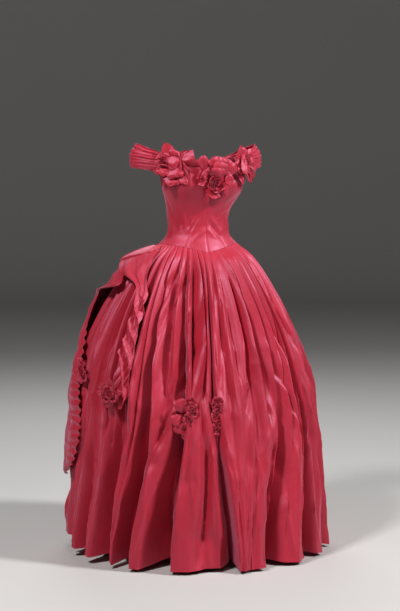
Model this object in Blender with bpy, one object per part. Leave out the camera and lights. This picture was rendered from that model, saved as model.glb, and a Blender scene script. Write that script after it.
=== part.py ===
"""Evening gown in silk taffeta, with no wearer: the hollow shape that it keeps when it is worn.

The frame is metres with +Z up. The origin is the middle of the waist, where the figure holds the gown.
The front faces -Y, and the wearer's right side is at -X. The floor is WAIST_HEIGHT below the origin.
Directions round the body are bearings in degrees: 0 at the centre front, 90 at the wearer's right
side, 180 at the centre back and 270 at the wearer's left side. Table sizes are millimetres.
"""

import math

import bmesh
import bpy
from mathutils import Vector

MM = 0.001
WAIST_HEIGHT = 1.140
CLOTH = 0.0018
SEAM_GAP = 0.0004
HEM_CLEARANCE = 0.006

# The bodice's outline, a row for each height above the waist
BODICE_COLUMNS = ("height", "half_width", "front", "back")
BODICE_SECTIONS = (
    (-110, 178, 122, 128),
    (-90, 163, 112, 116),
    (-66, 141, 101, 102),
    (-45, 120, 92, 88),
    (-25, 110, 87, 80),
    (0, 106, 84, 76),
    (40, 109, 88, 78),
    (90, 119, 99, 86),
    (130, 129, 107, 92),
    (170, 135, 108, 96),
    (215, 138, 101, 97),
    (250, 139, 93, 96),
)
CUP_HEIGHT, CUP_BEARING, CUP_DEPTH = 0.140, 33, 0.020
CUP_SPREAD_UP, CUP_SPREAD_ROUND = 0.046, 19

# Top and bottom edges of the bodice, a row for each bearing of the right half
EDGE_COLUMNS = ("bearing", "neckline", "waist_seam")
BODICE_EDGES = (
    (0, 222, -93),
    (12, 223, -85),
    (30, 228, -75),
    (50, 232, -68),
    (66, 212, -66),
    (90, 172, -65),
    (114, 186, -64),
    (140, 200, -62),
    (180, 202, -60),
)

# Seams between the bodice panels of the right half, by their bearings at three heights
SEAM_COLUMNS = ("seam", "at_neckline", "at_waist", "at_hem")
BODICE_SEAMS = (
    ("centre_front", 0, 0, 0),
    ("princess_front", 36, 30, 28),
    ("side", 92, 90, 90),
    ("princess_back", 140, 148, 150),
    ("centre_back", 180, 180, 180),
)
BODICE_PANELS = ("front_centre", "front_side", "back_side", "back_centre")
PANEL_COLUMNS, PANEL_ROWS = 4, 8

# The skirt's outline without its folds, a row for each drop below the waist seam
SKIRT_COLUMNS = ("drop", "half_width", "front", "back", "right_swell")
SKIRT_SECTIONS = (
    (0, 146, 114, 106, 0),
    (35, 185, 150, 148, 8),
    (80, 221, 184, 192, 15),
    (150, 264, 224, 245, 20),
    (240, 310, 264, 300, 24),
    (350, 354, 306, 352, 26),
    (480, 392, 344, 400, 22),
    (620, 418, 376, 442, 8),
    (780, 436, 404, 482, 2),
    (930, 446, 424, 514, 0),
    (1075, 454, 438, 542, 0),
)
# The wearer's right side is pushed out under the drape, between these bearings
SWELL_COLUMNS = ("bearing", "share")
SWELL = ((25, 0), (75, 1), (130, 1), (178, 0))
HIP_BLEND = 0.045

# Gathers run down from the waist seam; every table bearing counts on from the centre front
GATHERS = 52
GATHER_STEP = 360 / GATHERS
GATHER_HEIGHT_COLUMNS = ("share_of_drop", "height")
GATHER_HEIGHTS = ((0, 2.6), (0.06, 6), (0.2, 11), (0.4, 10), (0.6, 6), (0.8, 3), (1, 2))

# Deep folds between the panels of cloth: where each runs, and how deep it is on the way down
FOLD_COLUMNS = ("gather", "bearing_mid", "bearing_hem", "quarter", "half", "low", "hem", "reach")
DEEP_FOLDS = (
    (1, 8, -4, 24, 46, 74, 112, 0.40),
    (2, 14, 9, 4, 4, 16, 46, 0.34),
    (4, 24, 36, 20, 54, 86, 108, 0.44),
    (6, 40, 50, 28, 48, 78, 92, 0.44),
    (8, 55, 62, 30, 42, 56, 78, 0.42),
    (10, 70, 80, 14, 22, 44, 80, 0.44),
    (13, 90, 97, 18, 28, 46, 66, 0.44),
    (16, 114, 122, 18, 30, 50, 78, 0.44),
    (18, 128, 136, 24, 36, 60, 88, 0.40),
    (21, 146, 152, 22, 40, 66, 92, 0.44),
    (24, 167, 170, 26, 44, 72, 98, 0.44),
    (26, 180, 186, 20, 38, 60, 90, 0.40),
    (29, 202, 204, 26, 46, 70, 96, 0.44),
    (31, 215, 219, 22, 38, 62, 86, 0.40),
    (34, 235, 238, 24, 42, 68, 92, 0.44),
    (36, 249, 255, 20, 36, 56, 80, 0.40),
    (39, 271, 275, 22, 36, 56, 78, 0.44),
    (42, 294, 298, 18, 26, 44, 62, 0.42),
    (45, 315, 316, 20, 28, 48, 78, 0.42),
    (48, 331, 342, 28, 44, 80, 110, 0.42),
    (50, 347, 354, 30, 24, 8, 4, 0.36),
)
HEM_COLUMNS = ("bearing", "lift")
HEM_LIFTS = ((0, 2), (50, 6), (85, 20), (112, 34), (140, 14), (180, 2), (270, 3), (330, 3), (360, 2))
SKIRT_PANELS = (
    ("skirt_front", -5, 6),
    ("skirt_side_right", 6, 16),
    ("skirt_back_right", 16, 26),
    ("skirt_back_left", 26, 36),
    ("skirt_side_left", 36, 47),
)
COLUMNS_PER_GATHER = 4
SKIRT_ROWS = (0, 0.03, 0.09, 0.19, 0.33, 0.49, 0.66, 0.83, 1)

# The off-the-shoulder sleeve of the wearer's right arm, from its front end round to its back end
SLEEVE_COLUMNS = ("share", "right", "behind", "lower_edge", "upper_edge", "swell", "tilt")
SLEEVE_SECTIONS = (
    (0.00, 116, -74, 180, 232, 1, 0),
    (0.16, 158, -62, 192, 250, 4, 8),
    (0.34, 208, -40, 197, 270, 9, 16),
    (0.50, 241, 6, 199, 284, 13, 22),
    (0.66, 210, 56, 197, 272, 9, 16),
    (0.84, 156, 78, 190, 250, 4, 8),
    (1.00, 112, 72, 180, 226, 1, 0),
)
SLEEVE_ENDS, SLEEVE_JOIN = (52, 127), 0.14
SLEEVE_PLEATS, SLEEVE_PLEAT_DEPTH = 5, 0.0055
SLEEVE_LENGTHS, SLEEVE_ROWS_PER_PLEAT = 11, 2

# The neck band, in shares of the bodice's top row, over the bodice columns from its first to its last
NECK_BAND_ROWS = (-0.08, 0.02, 0.28, 0.54)
NECK_BAND_SWELL = (0.4, 1.4, 2.0, 0.4)
NECK_BANDS = (("neck_band_front", -6, 6), ("neck_band_back", 11, 21))

# The drape over the wearer's right hip: its two sheets, a row for each drop below the waist
DRAPE_COLUMNS = ("drop", "from_bearing", "to_bearing", "stands_from", "stands_to")
DRAPE_FRONT = (
    (69, 66, 98, 6, 7),
    (90, 62, 103, 14, 32),
    (115, 60, 106, 15, 47),
    (150, 58, 88, 16, 46),
    (190, 56, 72, 16, 32),
    (230, 52, 62, 16, 26),
    (270, 52, 60, 16, 22),
    (320, 52, 61, 16, 22),
    (370, 52, 62, 16, 22),
    (430, 51, 63, 16, 22),
    (490, 50, 63, 16, 22),
    (560, 51, 61, 16, 20),
    (605, 54, 61, 16, 18),
)
DRAPE_BACK = (
    (69, 102, 166, 7, 6),
    (85, 106, 166, 12, 11),
    (105, 97, 167, 17, 15),
    (135, 88, 167, 25, 18),
    (170, 81, 167, 29, 19),
    (204, 78, 166, 35, 19),
    (222, 98, 166, 52, 19),
    (245, 107, 166, 47, 19),
    (290, 109, 165, 42, 19),
    (340, 107, 164, 34, 19),
    (385, 98, 163, 25, 19),
    (440, 92, 163, 23, 19),
    (510, 87, 162, 25, 19),
    (580, 83, 161, 27, 19),
    (660, 82, 160, 21, 19),
    (740, 82, 158, 25, 19),
    (790, 85, 152, 25, 19),
    (835, 92, 140, 23, 19),
    (880, 104, 122, 21, 19),
)
DRAPE_FRONT_COLUMNS, DRAPE_BACK_COLUMNS = 5, 10
DRAPE_BACK_FOLDS = 5

# Roses: the heart's bearing, height and distance from the axis, where it faces, and its reach
ROSE_COLUMNS = ("name", "bearing", "height", "out", "faces", "nod", "radius", "turn", "leaves", "first_petal")
ROSES = (
    ("rose_neck_right", 62.24, 204, 161.8, 30, 6, 72, 20, (-70, 75, 200), 0),
    ("rose_neck_centre", -7, 156.1, 117.2, -7, -12, 76, -30, (-95, -12, 180), 0),
    ("rose_neck_left", -62.16, 195.8, 182.4, -45, 4, 72, 100, (70, 180, -60), 0),
    ("rose_skirt_hip", 83, -489.8, 434.6, 82, -10, 42, 40, (190,), 3),
    ("rose_skirt_side", 61.02, -553.2, 433.0, 60, -14, 46, 15, (-80, 160), 3),
    ("rose_skirt_front", 24, -621, 369.3, 22, 0, 42, 70, (-60,), 3),
    ("rose_skirt_centre", 8, -615, 354.7, 7, 0, 42, 0, (-90,), 3),
)
# One strip of cloth wound from the heart out, cut into petals: where each ends, in turns, and its set
PETAL_COLUMNS = ("middle", "half", "length", "rise_root", "rise_tip")
PETALS = (
    (0.20, 0.20, 0.42, 88, 86),
    (0.58, 0.18, 0.50, 86, 78),
    (0.92, 0.16, 0.58, 84, 70),
    (1.24, 0.16, 0.66, 80, 58),
    (1.56, 0.16, 0.76, 72, 40),
    (1.86, 0.14, 0.88, 60, 24),
    (2.14, 0.14, 0.98, 50, 8),
    (2.42, 0.14, 1.02, 40, -4),
    (2.70, 0.14, 0.98, 32, -8),
)
PETAL_COLUMNS_EACH, PETAL_ROWS = 4, 3
PETAL_OUTLINE = ((0, 0.66), (0.25, 0.94), (0.5, 1.0), (0.75, 0.9), (1, 0.66))
PETAL_CLOTH = 0.0013
ROOT_RADIUS, ROOT_SPREAD = 0.0042, 0.0042
LEAF_COLUMNS = ("along", "half_width", "rise")
LEAF_OUTLINE = ((0, 0.07, 26), (0.35, 0.26, 14), (0.7, 0.18, 2), (1, 0.03, -8))
LEAF_LENGTH, LEAF_FOLD = 1.2, 0.5

FINISH = {"colour": (0.62, 0.045, 0.10, 1), "roughness": 0.42, "metallic": 0.0}


def clear_scene():
    for item in list(bpy.data.objects):
        bpy.data.objects.remove(item)


def ease(share):
    share = min(1, max(0, share))
    return share * share * (3 - 2 * share)


def read(table, column, at):
    """A smooth curve through one column of a table, whose first column is the station."""
    rows = sorted(table)
    if at <= rows[0][0]:
        return rows[0][column]
    if at >= rows[-1][0]:
        return rows[-1][column]
    low = max(i for i in range(len(rows) - 1) if rows[i][0] <= at)
    span = rows[low + 1][0] - rows[low][0]

    def slope(i):
        before, after = rows[max(i - 1, 0)], rows[min(i + 1, len(rows) - 1)]
        return (after[column] - before[column]) / (after[0] - before[0])

    t = (at - rows[low][0]) / span
    start, end = rows[low][column], rows[low + 1][column]
    return (
        start * (1 + 2 * t) * (1 - t) ** 2
        + end * t * t * (3 - 2 * t)
        + slope(low) * span * t * (1 - t) ** 2
        + slope(low + 1) * span * t * t * (t - 1)
    )


def scatter(number, salt=0.0):
    """A repeatable value from 0 to 1 for the uneven look of hand-gathered cloth."""
    value = math.sin(number * 12.9898 + salt * 78.233 + 1.7) * 43758.5453
    return value - math.floor(value)


def right_half(bearing):
    """The same place on the right half of a symmetric table, from 0 to 180."""
    bearing = bearing % 360
    return min(bearing, 360 - bearing)


def outline_point(bearing, half_width, front, back, height):
    turn = math.radians(bearing)
    depth = front if math.cos(turn) > 0 else back
    return Vector((-half_width * math.sin(turn), -depth * math.cos(turn), height))


def body_point(bearing, height):
    """The bodice's outer face."""
    at = height / MM
    point = outline_point(bearing, *(read(BODICE_SECTIONS, c, at) * MM for c in (1, 2, 3)), height)
    up = (height - CUP_HEIGHT) / CUP_SPREAD_UP
    round_it = (right_half(bearing) - CUP_BEARING) / CUP_SPREAD_ROUND
    cup = CUP_DEPTH * math.exp(-up * up - round_it * round_it)
    return point + Vector((point.x, point.y, 0)).normalized() * cup


def neckline(bearing):
    return read(BODICE_EDGES, 1, right_half(bearing)) * MM


def waist_seam(bearing):
    return read(BODICE_EDGES, 2, right_half(bearing)) * MM


def skirt_ring(bearing, drop, stands):
    stands += read(SKIRT_SECTIONS, 4, drop / MM) * MM * read(SWELL, 1, bearing % 360)
    ring = [read(SKIRT_SECTIONS, c, drop / MM) * MM + stands for c in (1, 2, 3)]
    return outline_point(bearing, *ring, 0)


def skirt_outline(bearing, drop, stands=0.0):
    """The skirt without its folds, at a drop below the waist seam, moved out by stands."""
    seam = body_point(bearing, waist_seam(bearing))
    seam.z = 0
    point = skirt_ring(bearing, drop, stands)
    point += (seam - skirt_ring(bearing, 0, 0)) * (1 - ease(drop / HIP_BLEND))
    point.z = waist_seam(bearing) - drop
    return point


def fold_bearing(fold, share):
    """Where a deep fold has wandered to at a share of the way down."""
    top = fold[0] * GATHER_STEP
    if share < 0.5:
        return top + (fold[1] - top) * ease(share / 0.5)
    return fold[1] + (fold[2] - fold[1]) * ease((share - 0.5) / 0.5)


def gather_bearing(gather, share):
    """The bearing of a line of cloth that starts at a gather, between the folds beside it."""
    turns, gather = divmod(gather, GATHERS)
    folds = (DEEP_FOLDS[-1], *DEEP_FOLDS, DEEP_FOLDS[0])
    last = len(folds) - 1
    marks = [
        (f[0] + GATHERS * ((i == last) - (i == 0)), fold_bearing(f, share) + 360 * ((i == last) - (i == 0)))
        for i, f in enumerate(folds)
    ]
    for (g0, b0), (g1, b1) in zip(marks, marks[1:]):
        if gather <= g1:
            return b0 + (b1 - b0) * (gather - g0) / (g1 - g0) + 360 * turns
    return marks[-1][1] + 360 * turns


def fold_depth(fold, share):
    levels = ((0, 0), (0.25, fold[3]), (0.5, fold[4]), (0.75, fold[5]), (1, fold[6]))
    return read(levels, 1, share) * MM


def skirt_relief(gather, share):
    """How far the cloth stands out of the plain outline: gathers out, deep folds in."""
    number = math.floor(gather) % GATHERS
    length = 0.55 + 0.6 * scatter(number, 1)
    fade = 1 - ease((share - length * 0.5) / (length * 0.6))
    height = read(GATHER_HEIGHTS, 1, share) * MM * (0.55 + 0.45 * fade)
    relief = height * (0.7 + 0.5 * scatter(number, 2)) * abs(math.sin(math.pi * gather))
    relief -= read(GATHER_HEIGHTS, 1, share) * MM * 0.2
    for fold in DEEP_FOLDS:
        apart = (gather - fold[0] + GATHERS / 2) % GATHERS - GATHERS / 2
        if abs(apart) < 2:
            relief -= fold_depth(fold, share) * math.exp(-abs(apart / fold[7]) ** 2.2)
    return relief


def skirt_point(gather, share):
    """The skirt's outer face: a line of cloth from its gather down to the hem."""
    bearing = gather_bearing(gather, share)
    seam = waist_seam(bearing) - SEAM_GAP
    hem = -WAIST_HEIGHT + HEM_CLEARANCE + read(HEM_LIFTS, 1, bearing % 360) * MM
    relief = skirt_relief(gather, share)
    hem += max(0, -relief) * 0.12 * share
    point = skirt_outline(bearing, (seam - hem) * share)
    point.z = seam - (seam - hem) * share
    return point + Vector((point.x, point.y, 0)).normalized() * relief


def drape_point(table, across, drop, ripple):
    """A sheet of the hip drape, standing off the skirt's outline."""
    first, last, near, far = (read(table, c, drop / MM) for c in (1, 2, 3, 4))
    stands = near + (far - near) * ease(across)
    bearing = first + (last - first) * across
    return skirt_outline(bearing, max(0.0, drop + waist_seam(bearing)), stands * MM + ripple)


def sleeve_point(share, up):
    """The right sleeve's outer face: share from its front end to its back end, up its width."""
    right, behind, lower, upper, swell, tilt = (read(SLEEVE_SECTIONS, c, share) * MM for c in range(1, 7))
    along = Vector((0, 0, 0))
    for sign in (-1, 1):
        near = min(1, max(0, share + sign * 0.02))
        along += sign * Vector((-read(SLEEVE_SECTIONS, 1, near), read(SLEEVE_SECTIONS, 2, near), 0))
    outward = Vector((-along.y, along.x, 0)).normalized()
    pleat = SLEEVE_PLEAT_DEPTH * abs(math.sin(math.pi * SLEEVE_PLEATS * up))
    pleat *= math.sin(math.pi * (0.12 + 0.76 * share))
    stands = swell * math.sin(math.pi * up) - tilt * up + pleat
    height = lower + (upper - lower) * up
    point = Vector((-right, behind, height)) + outward * stands
    bearing = SLEEVE_ENDS[0] if share < 0.5 else SLEEVE_ENDS[1]
    sewn = body_point(bearing, height)
    sewn += Vector((sewn.x, sewn.y, 0)).normalized() * (2 * CLOTH + 0.0014)
    return sewn.lerp(point, ease(min(share, 1 - share) / SLEEVE_JOIN))


def normal_grid(grid, ring=False):
    """A unit normal at each point of a grid of points, whose rows close on themselves in a ring."""
    rows, columns = len(grid), len(grid[0])
    normals = []
    for r in range(rows):
        line = []
        for c in range(columns):
            after, before = (c + 1) % columns, c - 1
            if not ring:
                after, before = min(c + 1, columns - 1), max(c - 1, 0)
            down = grid[min(r + 1, rows - 1)][c] - grid[max(r - 1, 0)][c]
            across = grid[r][after] - grid[r][before]
            line.append(across.cross(down).normalized())
        normals.append(line)
    return normals


def material():
    name = "taffeta"
    if name not in bpy.data.materials:
        made = bpy.data.materials.new(name)
        made.use_nodes = True
        shader = made.node_tree.nodes["Principled BSDF"]
        shader.inputs["Base Color"].default_value = FINISH["colour"]
        shader.inputs["Roughness"].default_value = FINISH["roughness"]
        shader.inputs["Metallic"].default_value = FINISH["metallic"]
    return bpy.data.materials[name]


def add_object(name, mesh):
    made = bpy.data.objects.new(name, mesh)
    bpy.context.scene.collection.objects.link(made)
    made.data.materials.append(material())
    made.data.shade_smooth()
    return made


def wall_mesh(name, grid, thickness, inside, normals=None):
    """A closed wall under a grid of outer points, with its inner face towards the point inside."""
    normals = normals or normal_grid(grid)
    middle, column = len(grid) // 2, len(grid[0]) // 2
    towards = inside - grid[middle][column]
    inward = 1 if normals[middle][column].dot(towards) > 0 else -1
    work = bmesh.new()
    outer = [[work.verts.new(p) for p in line] for line in grid]
    inner = [
        [work.verts.new(p + n * inward * thickness) for p, n in zip(line, ways)]
        for line, ways in zip(grid, normals)
    ]
    rows, columns = len(grid), len(grid[0])
    for skin in (outer, inner):
        for r in range(rows - 1):
            for c in range(columns - 1):
                work.faces.new((skin[r][c], skin[r][c + 1], skin[r + 1][c + 1], skin[r + 1][c]))
    rim = [(0, c) for c in range(columns - 1)] + [(r, columns - 1) for r in range(rows - 1)]
    rim += [(rows - 1, c) for c in range(columns - 1, 0, -1)] + [(r, 0) for r in range(rows - 1, 0, -1)]
    for (r0, c0), (r1, c1) in zip(rim, rim[1:] + rim[:1]):
        work.faces.new((outer[r0][c0], outer[r1][c1], inner[r1][c1], inner[r0][c0]))
    bmesh.ops.recalc_face_normals(work, faces=work.faces)
    mesh = bpy.data.meshes.new(name)
    work.to_mesh(mesh)
    work.free()
    return mesh


def add_ring_panels(spans, grid):
    """Cut a closed ring of cloth into its panels, with a hairline seam between neighbours."""
    normals = normal_grid(grid, ring=True)
    columns = len(grid[0])
    for name, first, last in spans:
        picked = [c % columns for c in range(first, last + 1)]
        cloth = [[line[c].copy() for c in picked] for line in grid]
        ways = [[line[c] for c in picked] for line in normals]
        for line in cloth:
            line[0] += (line[1] - line[0]).normalized() * SEAM_GAP / 2
            line[-1] += (line[-2] - line[-1]).normalized() * SEAM_GAP / 2
        middle = cloth[len(cloth) // 2][len(picked) // 2]
        add_object(name, wall_mesh(name, cloth, CLOTH, Vector((0, 0, middle.z)), ways))


def seam_bearing(seam, height):
    """A bodice seam's bearing at a height."""
    levels = ((-0.093, seam[3]), (0, seam[2]), (0.23, seam[1]))
    return read(levels, 1, height)


def bodice_ring():
    """The whole bodice's outer face, a row for each level and a column for each step round it."""
    seams = BODICE_SEAMS + tuple((s[0], *(360 - b for b in s[1:])) for s in reversed(BODICE_SEAMS[:-1]))
    grid = []
    for row in range(PANEL_ROWS + 1):
        down = row / PANEL_ROWS
        marks = []
        for seam in seams:
            bearing = seam[2]
            for _ in range(3):
                height = neckline(bearing) * (1 - down) + waist_seam(bearing) * down
                bearing = seam_bearing(seam, height)
            marks.append(bearing)
        line = []
        for start, end in zip(marks, marks[1:]):
            for column in range(PANEL_COLUMNS):
                bearing = start + (end - start) * column / PANEL_COLUMNS
                height = neckline(bearing) * (1 - down) + waist_seam(bearing) * down
                line.append(body_point(bearing, height))
        grid.append(line)
    return grid


def build_bodice():
    """Eight shaped panels, each stopping half a seam gap short of its neighbours."""
    panels = [f"bodice_{panel}_right" for panel in BODICE_PANELS]
    panels += [f"bodice_{panel}_left" for panel in reversed(BODICE_PANELS)]
    spans = [(name, n * PANEL_COLUMNS, (n + 1) * PANEL_COLUMNS) for n, name in enumerate(panels)]
    add_ring_panels(spans, bodice_ring())


def build_neck_bands():
    """A narrow folded band that lies on the top edge of the bodice, open at both underarms."""
    ring = bodice_ring()
    normals = normal_grid(ring, ring=True)
    columns = len(ring[0])
    for name, first, last in NECK_BANDS:
        picked = [c % columns for c in range(first, last + 1)]
        grid, ways = [], []
        for down, swell in zip(NECK_BAND_ROWS, NECK_BAND_SWELL):
            ways.append([normals[0][c].lerp(normals[1][c], max(0, down)).normalized() for c in picked])
            stands = CLOTH + SEAM_GAP + swell * MM
            facing = 1 if ways[-1][0].dot(ring[0][picked[0]]) > 0 else -1
            grid.append(
                [ring[0][c].lerp(ring[1][c], down) + n * facing * stands for c, n in zip(picked, ways[-1])]
            )
        middle = grid[1][len(picked) // 2]
        add_object(name, wall_mesh(name, grid, CLOTH, Vector((0, 0, middle.z)), ways))


def build_sleeves():
    rows = SLEEVE_PLEATS * SLEEVE_ROWS_PER_PLEAT
    for side, mirror in (("right", 1), ("left", -1)):
        grid = []
        for row in range(rows + 1):
            points = [sleeve_point(c / SLEEVE_LENGTHS, row / rows) for c in range(SLEEVE_LENGTHS + 1)]
            grid.append([Vector((p.x * mirror, p.y, p.z)) for p in points])
        middle = grid[rows // 2][SLEEVE_LENGTHS // 2]
        inside = Vector((0, middle.y, middle.z))
        name = f"sleeve_{side}"
        add_object(name, wall_mesh(name, grid, CLOTH, inside))


def build_skirt():
    """Five widths of cloth, gathered into the waist seam and falling in deep folds."""
    steps = GATHERS * COLUMNS_PER_GATHER
    grid = [[skirt_point(c / COLUMNS_PER_GATHER, share) for c in range(steps)] for share in SKIRT_ROWS]
    step = COLUMNS_PER_GATHER
    spans = [(name, first * step, last * step) for name, first, last in SKIRT_PANELS]
    add_ring_panels(spans, grid)


def build_drape():
    """Two sheets at the right hip: a turned-back flap that narrows to a crimped tail, and a full panel."""
    sheets = (
        ("drape_front", DRAPE_FRONT, DRAPE_FRONT_COLUMNS),
        ("drape_back", DRAPE_BACK, DRAPE_BACK_COLUMNS),
    )
    for name, table, columns in sheets:
        grid = []
        for row, (drop, *_) in enumerate(table):
            line = []
            for column in range(columns + 1):
                across = column / columns
                if table is DRAPE_FRONT:
                    ripple = 0.004 * (row > 4) * (-1) ** row
                else:
                    ripple = 0.012 * ease(row / 9) * abs(math.sin(math.pi * DRAPE_BACK_FOLDS * across))
                line.append(drape_point(table, across, drop * MM, ripple))
            grid.append(line)
        middle = grid[len(grid) // 2][columns // 2]
        add_object(name, wall_mesh(name, grid, CLOTH, Vector((0, 0, middle.z))))


def rose_frame(rose):
    """The hub of a rose, and its directions: facing, sideways and up."""
    _, bearing, height, out, faces, nod, *_ = rose
    place, turn, tip = math.radians(bearing), math.radians(faces), math.radians(nod)
    level = Vector((-math.sin(turn), -math.cos(turn), 0))
    facing = level * math.cos(tip) + Vector((0, 0, math.sin(tip)))
    sideways = Vector((0, 0, 1)).cross(level).normalized()
    hub = Vector((-math.sin(place) * out, -math.cos(place) * out, height)) * MM
    return hub, facing, sideways, facing.cross(sideways)


def spread(frame, turns, root, steps, radius):
    """Points out from the hub along a ray: steps holds each length and its rise in degrees."""
    hub, facing, sideways, upward = frame
    ray = sideways * math.cos(math.tau * turns) + upward * math.sin(math.tau * turns)
    spot = hub + ray * root
    spots = [spot]
    for length, rise in steps:
        turn = math.radians(rise)
        spot = spot + (ray * math.cos(turn) + facing * math.sin(turn)) * length * radius
        spots.append(spot)
    return spots


def rose_strip(frame, radius, turn, petals):
    """The wound strip of a rose, as a grid with its free edge last."""
    rays = []
    for number, (middle, half, *_) in enumerate(petals):
        for step in range(PETAL_COLUMNS_EACH + (number == len(petals) - 1)):
            share = step / PETAL_COLUMNS_EACH
            at = middle - half + 2 * half * share
            length = read(petals, 2, at) * read(PETAL_OUTLINE, 1, share)
            low, high = read(petals, 3, at), read(petals, 4, at)
            rises = [low + (high - low) * (row + 0.5) / PETAL_ROWS for row in range(PETAL_ROWS)]
            steps = [(length / PETAL_ROWS, rise) for rise in rises]
            rays.append(spread(frame, turn / 360 + at, ROOT_RADIUS + ROOT_SPREAD * at, steps, radius))
    return [[ray[row] for ray in rays] for row in range(PETAL_ROWS + 1)]


def leaf_grid(frame, radius, turns):
    """A pointed leaf, folded a little along its middle."""
    hub, facing, sideways, upward = frame
    ray = sideways * math.cos(math.tau * turns) + upward * math.sin(math.tau * turns)
    across = facing.cross(ray)
    steps = []
    for (a0, _, rise), (a1, _, _) in zip(LEAF_OUTLINE, LEAF_OUTLINE[1:]):
        steps.append(((a1 - a0) * LEAF_LENGTH, rise))
    grid = []
    for spot, (_, half, _) in zip(spread(frame, turns, ROOT_RADIUS * 2, steps, radius), LEAF_OUTLINE):
        half *= radius
        sunk = facing * half * LEAF_FOLD
        grid.append([spot - across * half, spot - sunk, spot + across * half])
    return grid


def build_roses():
    """Each rose is one fused body: a wound strip of petals, and pointed leaves under it."""
    for rose in ROSES:
        name, _, _, _, _, _, radius, turn, leaves, first = rose
        radius *= MM
        frame = rose_frame(rose)
        behind = frame[0] - frame[1] * radius
        strip = rose_strip(frame, radius, turn, PETALS[first:])
        made = add_object(name, wall_mesh(name, strip, PETAL_CLOTH, behind))
        parts = bpy.data.collections.new(f"{name}_leaves")
        bpy.context.scene.collection.children.link(parts)
        for leaf, at in enumerate(leaves):
            mesh = wall_mesh(f"{name}_leaf_{leaf}", leaf_grid(frame, radius, at / 360), PETAL_CLOTH, behind)
            parts.objects.link(bpy.data.objects.new(mesh.name, mesh))
        fuse = made.modifiers.new("leaves", "BOOLEAN")
        fuse.operation = "UNION"
        fuse.operand_type = "COLLECTION"
        fuse.collection = parts
        keep_outer_skin(made)
        for piece in list(parts.objects):
            bpy.data.objects.remove(piece)
        bpy.data.collections.remove(parts)


def keep_outer_skin(made):
    """Settle the fused shape, and fill the small pockets that its petals close off."""
    work = bmesh.new()
    work.from_object(made, bpy.context.evaluated_depsgraph_get())
    made.modifiers.clear()
    bmesh.ops.triangulate(work, faces=work.faces)
    left = set(work.faces)
    islands = []
    while left:
        island, edge = set(), [left.pop()]
        while edge:
            face = edge.pop()
            island.add(face)
            for side in face.edges:
                for near in side.link_faces:
                    if near in left:
                        left.remove(near)
                        edge.append(near)
        islands.append(island)

    def volume(island):
        corners = ([v.co for v in face.verts] for face in island)
        return sum(a.dot(b.cross(c)) for a, b, c in corners)

    islands.sort(key=volume)
    for island in islands[:-1]:
        bmesh.ops.delete(work, geom=list(island), context="FACES")
    work.to_mesh(made.data)
    work.free()
    made.data.shade_smooth()


def main():
    clear_scene()
    build_bodice()
    build_neck_bands()
    build_sleeves()
    build_skirt()
    build_drape()
    build_roses()


main()
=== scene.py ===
# %% [markdown]
# # An evening gown in silk taffeta
# The gown is cloth all over: a fitted bodice, off-the-shoulder sleeve bands, a very full gathered skirt,
# a drape over the wearer's right hip and seven cloth roses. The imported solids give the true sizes.
# Every piece below is a finer sheet of cloth laid on one of those solids.

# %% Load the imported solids
import math
import bpy
import numpy as np
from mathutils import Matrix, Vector


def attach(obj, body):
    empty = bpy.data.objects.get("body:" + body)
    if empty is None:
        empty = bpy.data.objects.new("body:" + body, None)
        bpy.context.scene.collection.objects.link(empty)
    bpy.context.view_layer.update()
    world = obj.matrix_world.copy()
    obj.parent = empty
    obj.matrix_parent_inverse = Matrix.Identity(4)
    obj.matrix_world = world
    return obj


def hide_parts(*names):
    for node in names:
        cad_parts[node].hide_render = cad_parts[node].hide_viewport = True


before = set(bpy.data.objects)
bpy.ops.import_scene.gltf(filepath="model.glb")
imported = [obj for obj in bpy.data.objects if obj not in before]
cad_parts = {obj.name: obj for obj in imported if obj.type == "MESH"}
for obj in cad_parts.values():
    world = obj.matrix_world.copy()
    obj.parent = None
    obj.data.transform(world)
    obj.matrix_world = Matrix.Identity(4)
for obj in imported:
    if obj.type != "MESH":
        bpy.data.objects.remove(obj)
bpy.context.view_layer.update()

# %% [markdown]
# ## The pattern's sizes
# A dressmaker works from a table of sizes at each height of the figure. The solids were made from the
# same tables, so the sheets fall where the solids are. Only the bust, the drape's tail, the left neck
# rose and the left sleeve were corrected later, from the photograph. Sizes are millimetres, and bearings
# go round the body: 0 at the centre front, 90 at the wearer's right side, 180 at the back.

# %% Tables of sizes
MM = 0.001
FLOOR, HEM_CLEARANCE, HIP_BLEND = -1.140, 0.006, 0.045  # these are metres
BODICE = (
    # height above the waist, half width, front, back
    (-110, 178, 122, 128), (-90, 163, 112, 116), (-66, 141, 101, 102), (-45, 120, 92, 88),
    (-25, 110, 87, 80), (0, 106, 84, 76), (40, 109, 88, 78), (90, 119, 99, 86), (130, 129, 107, 92),
    (170, 135, 108, 96), (215, 138, 101, 97), (250, 139, 93, 96),
)
CUP_DEPTH, FULLER_RIGHT, FULLER_LEFT = 20, 11, 30
CUP = (140, 33, 46, 19)  # height, bearing, spread up and down, spread in degrees
FULLER = (128, 60, 56, 26)  # the same for the sides of the bust, fuller in the photo than in the solids
EDGES = (
    # bearing, neckline, waist seam
    (0, 222, -93), (12, 223, -85), (30, 228, -75), (50, 232, -68), (66, 212, -66),
    (90, 172, -65), (114, 186, -64), (140, 200, -62), (180, 202, -60),
)
SKIRT = (
    # drop below the waist seam, half width, front, back, swell at the wearer's right
    (0, 146, 114, 106, 0), (35, 185, 150, 148, 8), (80, 221, 184, 192, 15), (150, 264, 224, 245, 20),
    (240, 310, 264, 300, 24), (350, 354, 306, 352, 26), (480, 392, 344, 400, 22), (620, 418, 376, 442, 8),
    (780, 436, 404, 482, 2), (930, 446, 424, 514, 0), (1075, 454, 438, 542, 0),
)
SWELL = ((25, 0), (75, 1), (130, 1), (178, 0))
SEAM_GAP, SEAM_DIP = 0.4 * MM, 0.8 * MM
GATHERS = 52
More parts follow.
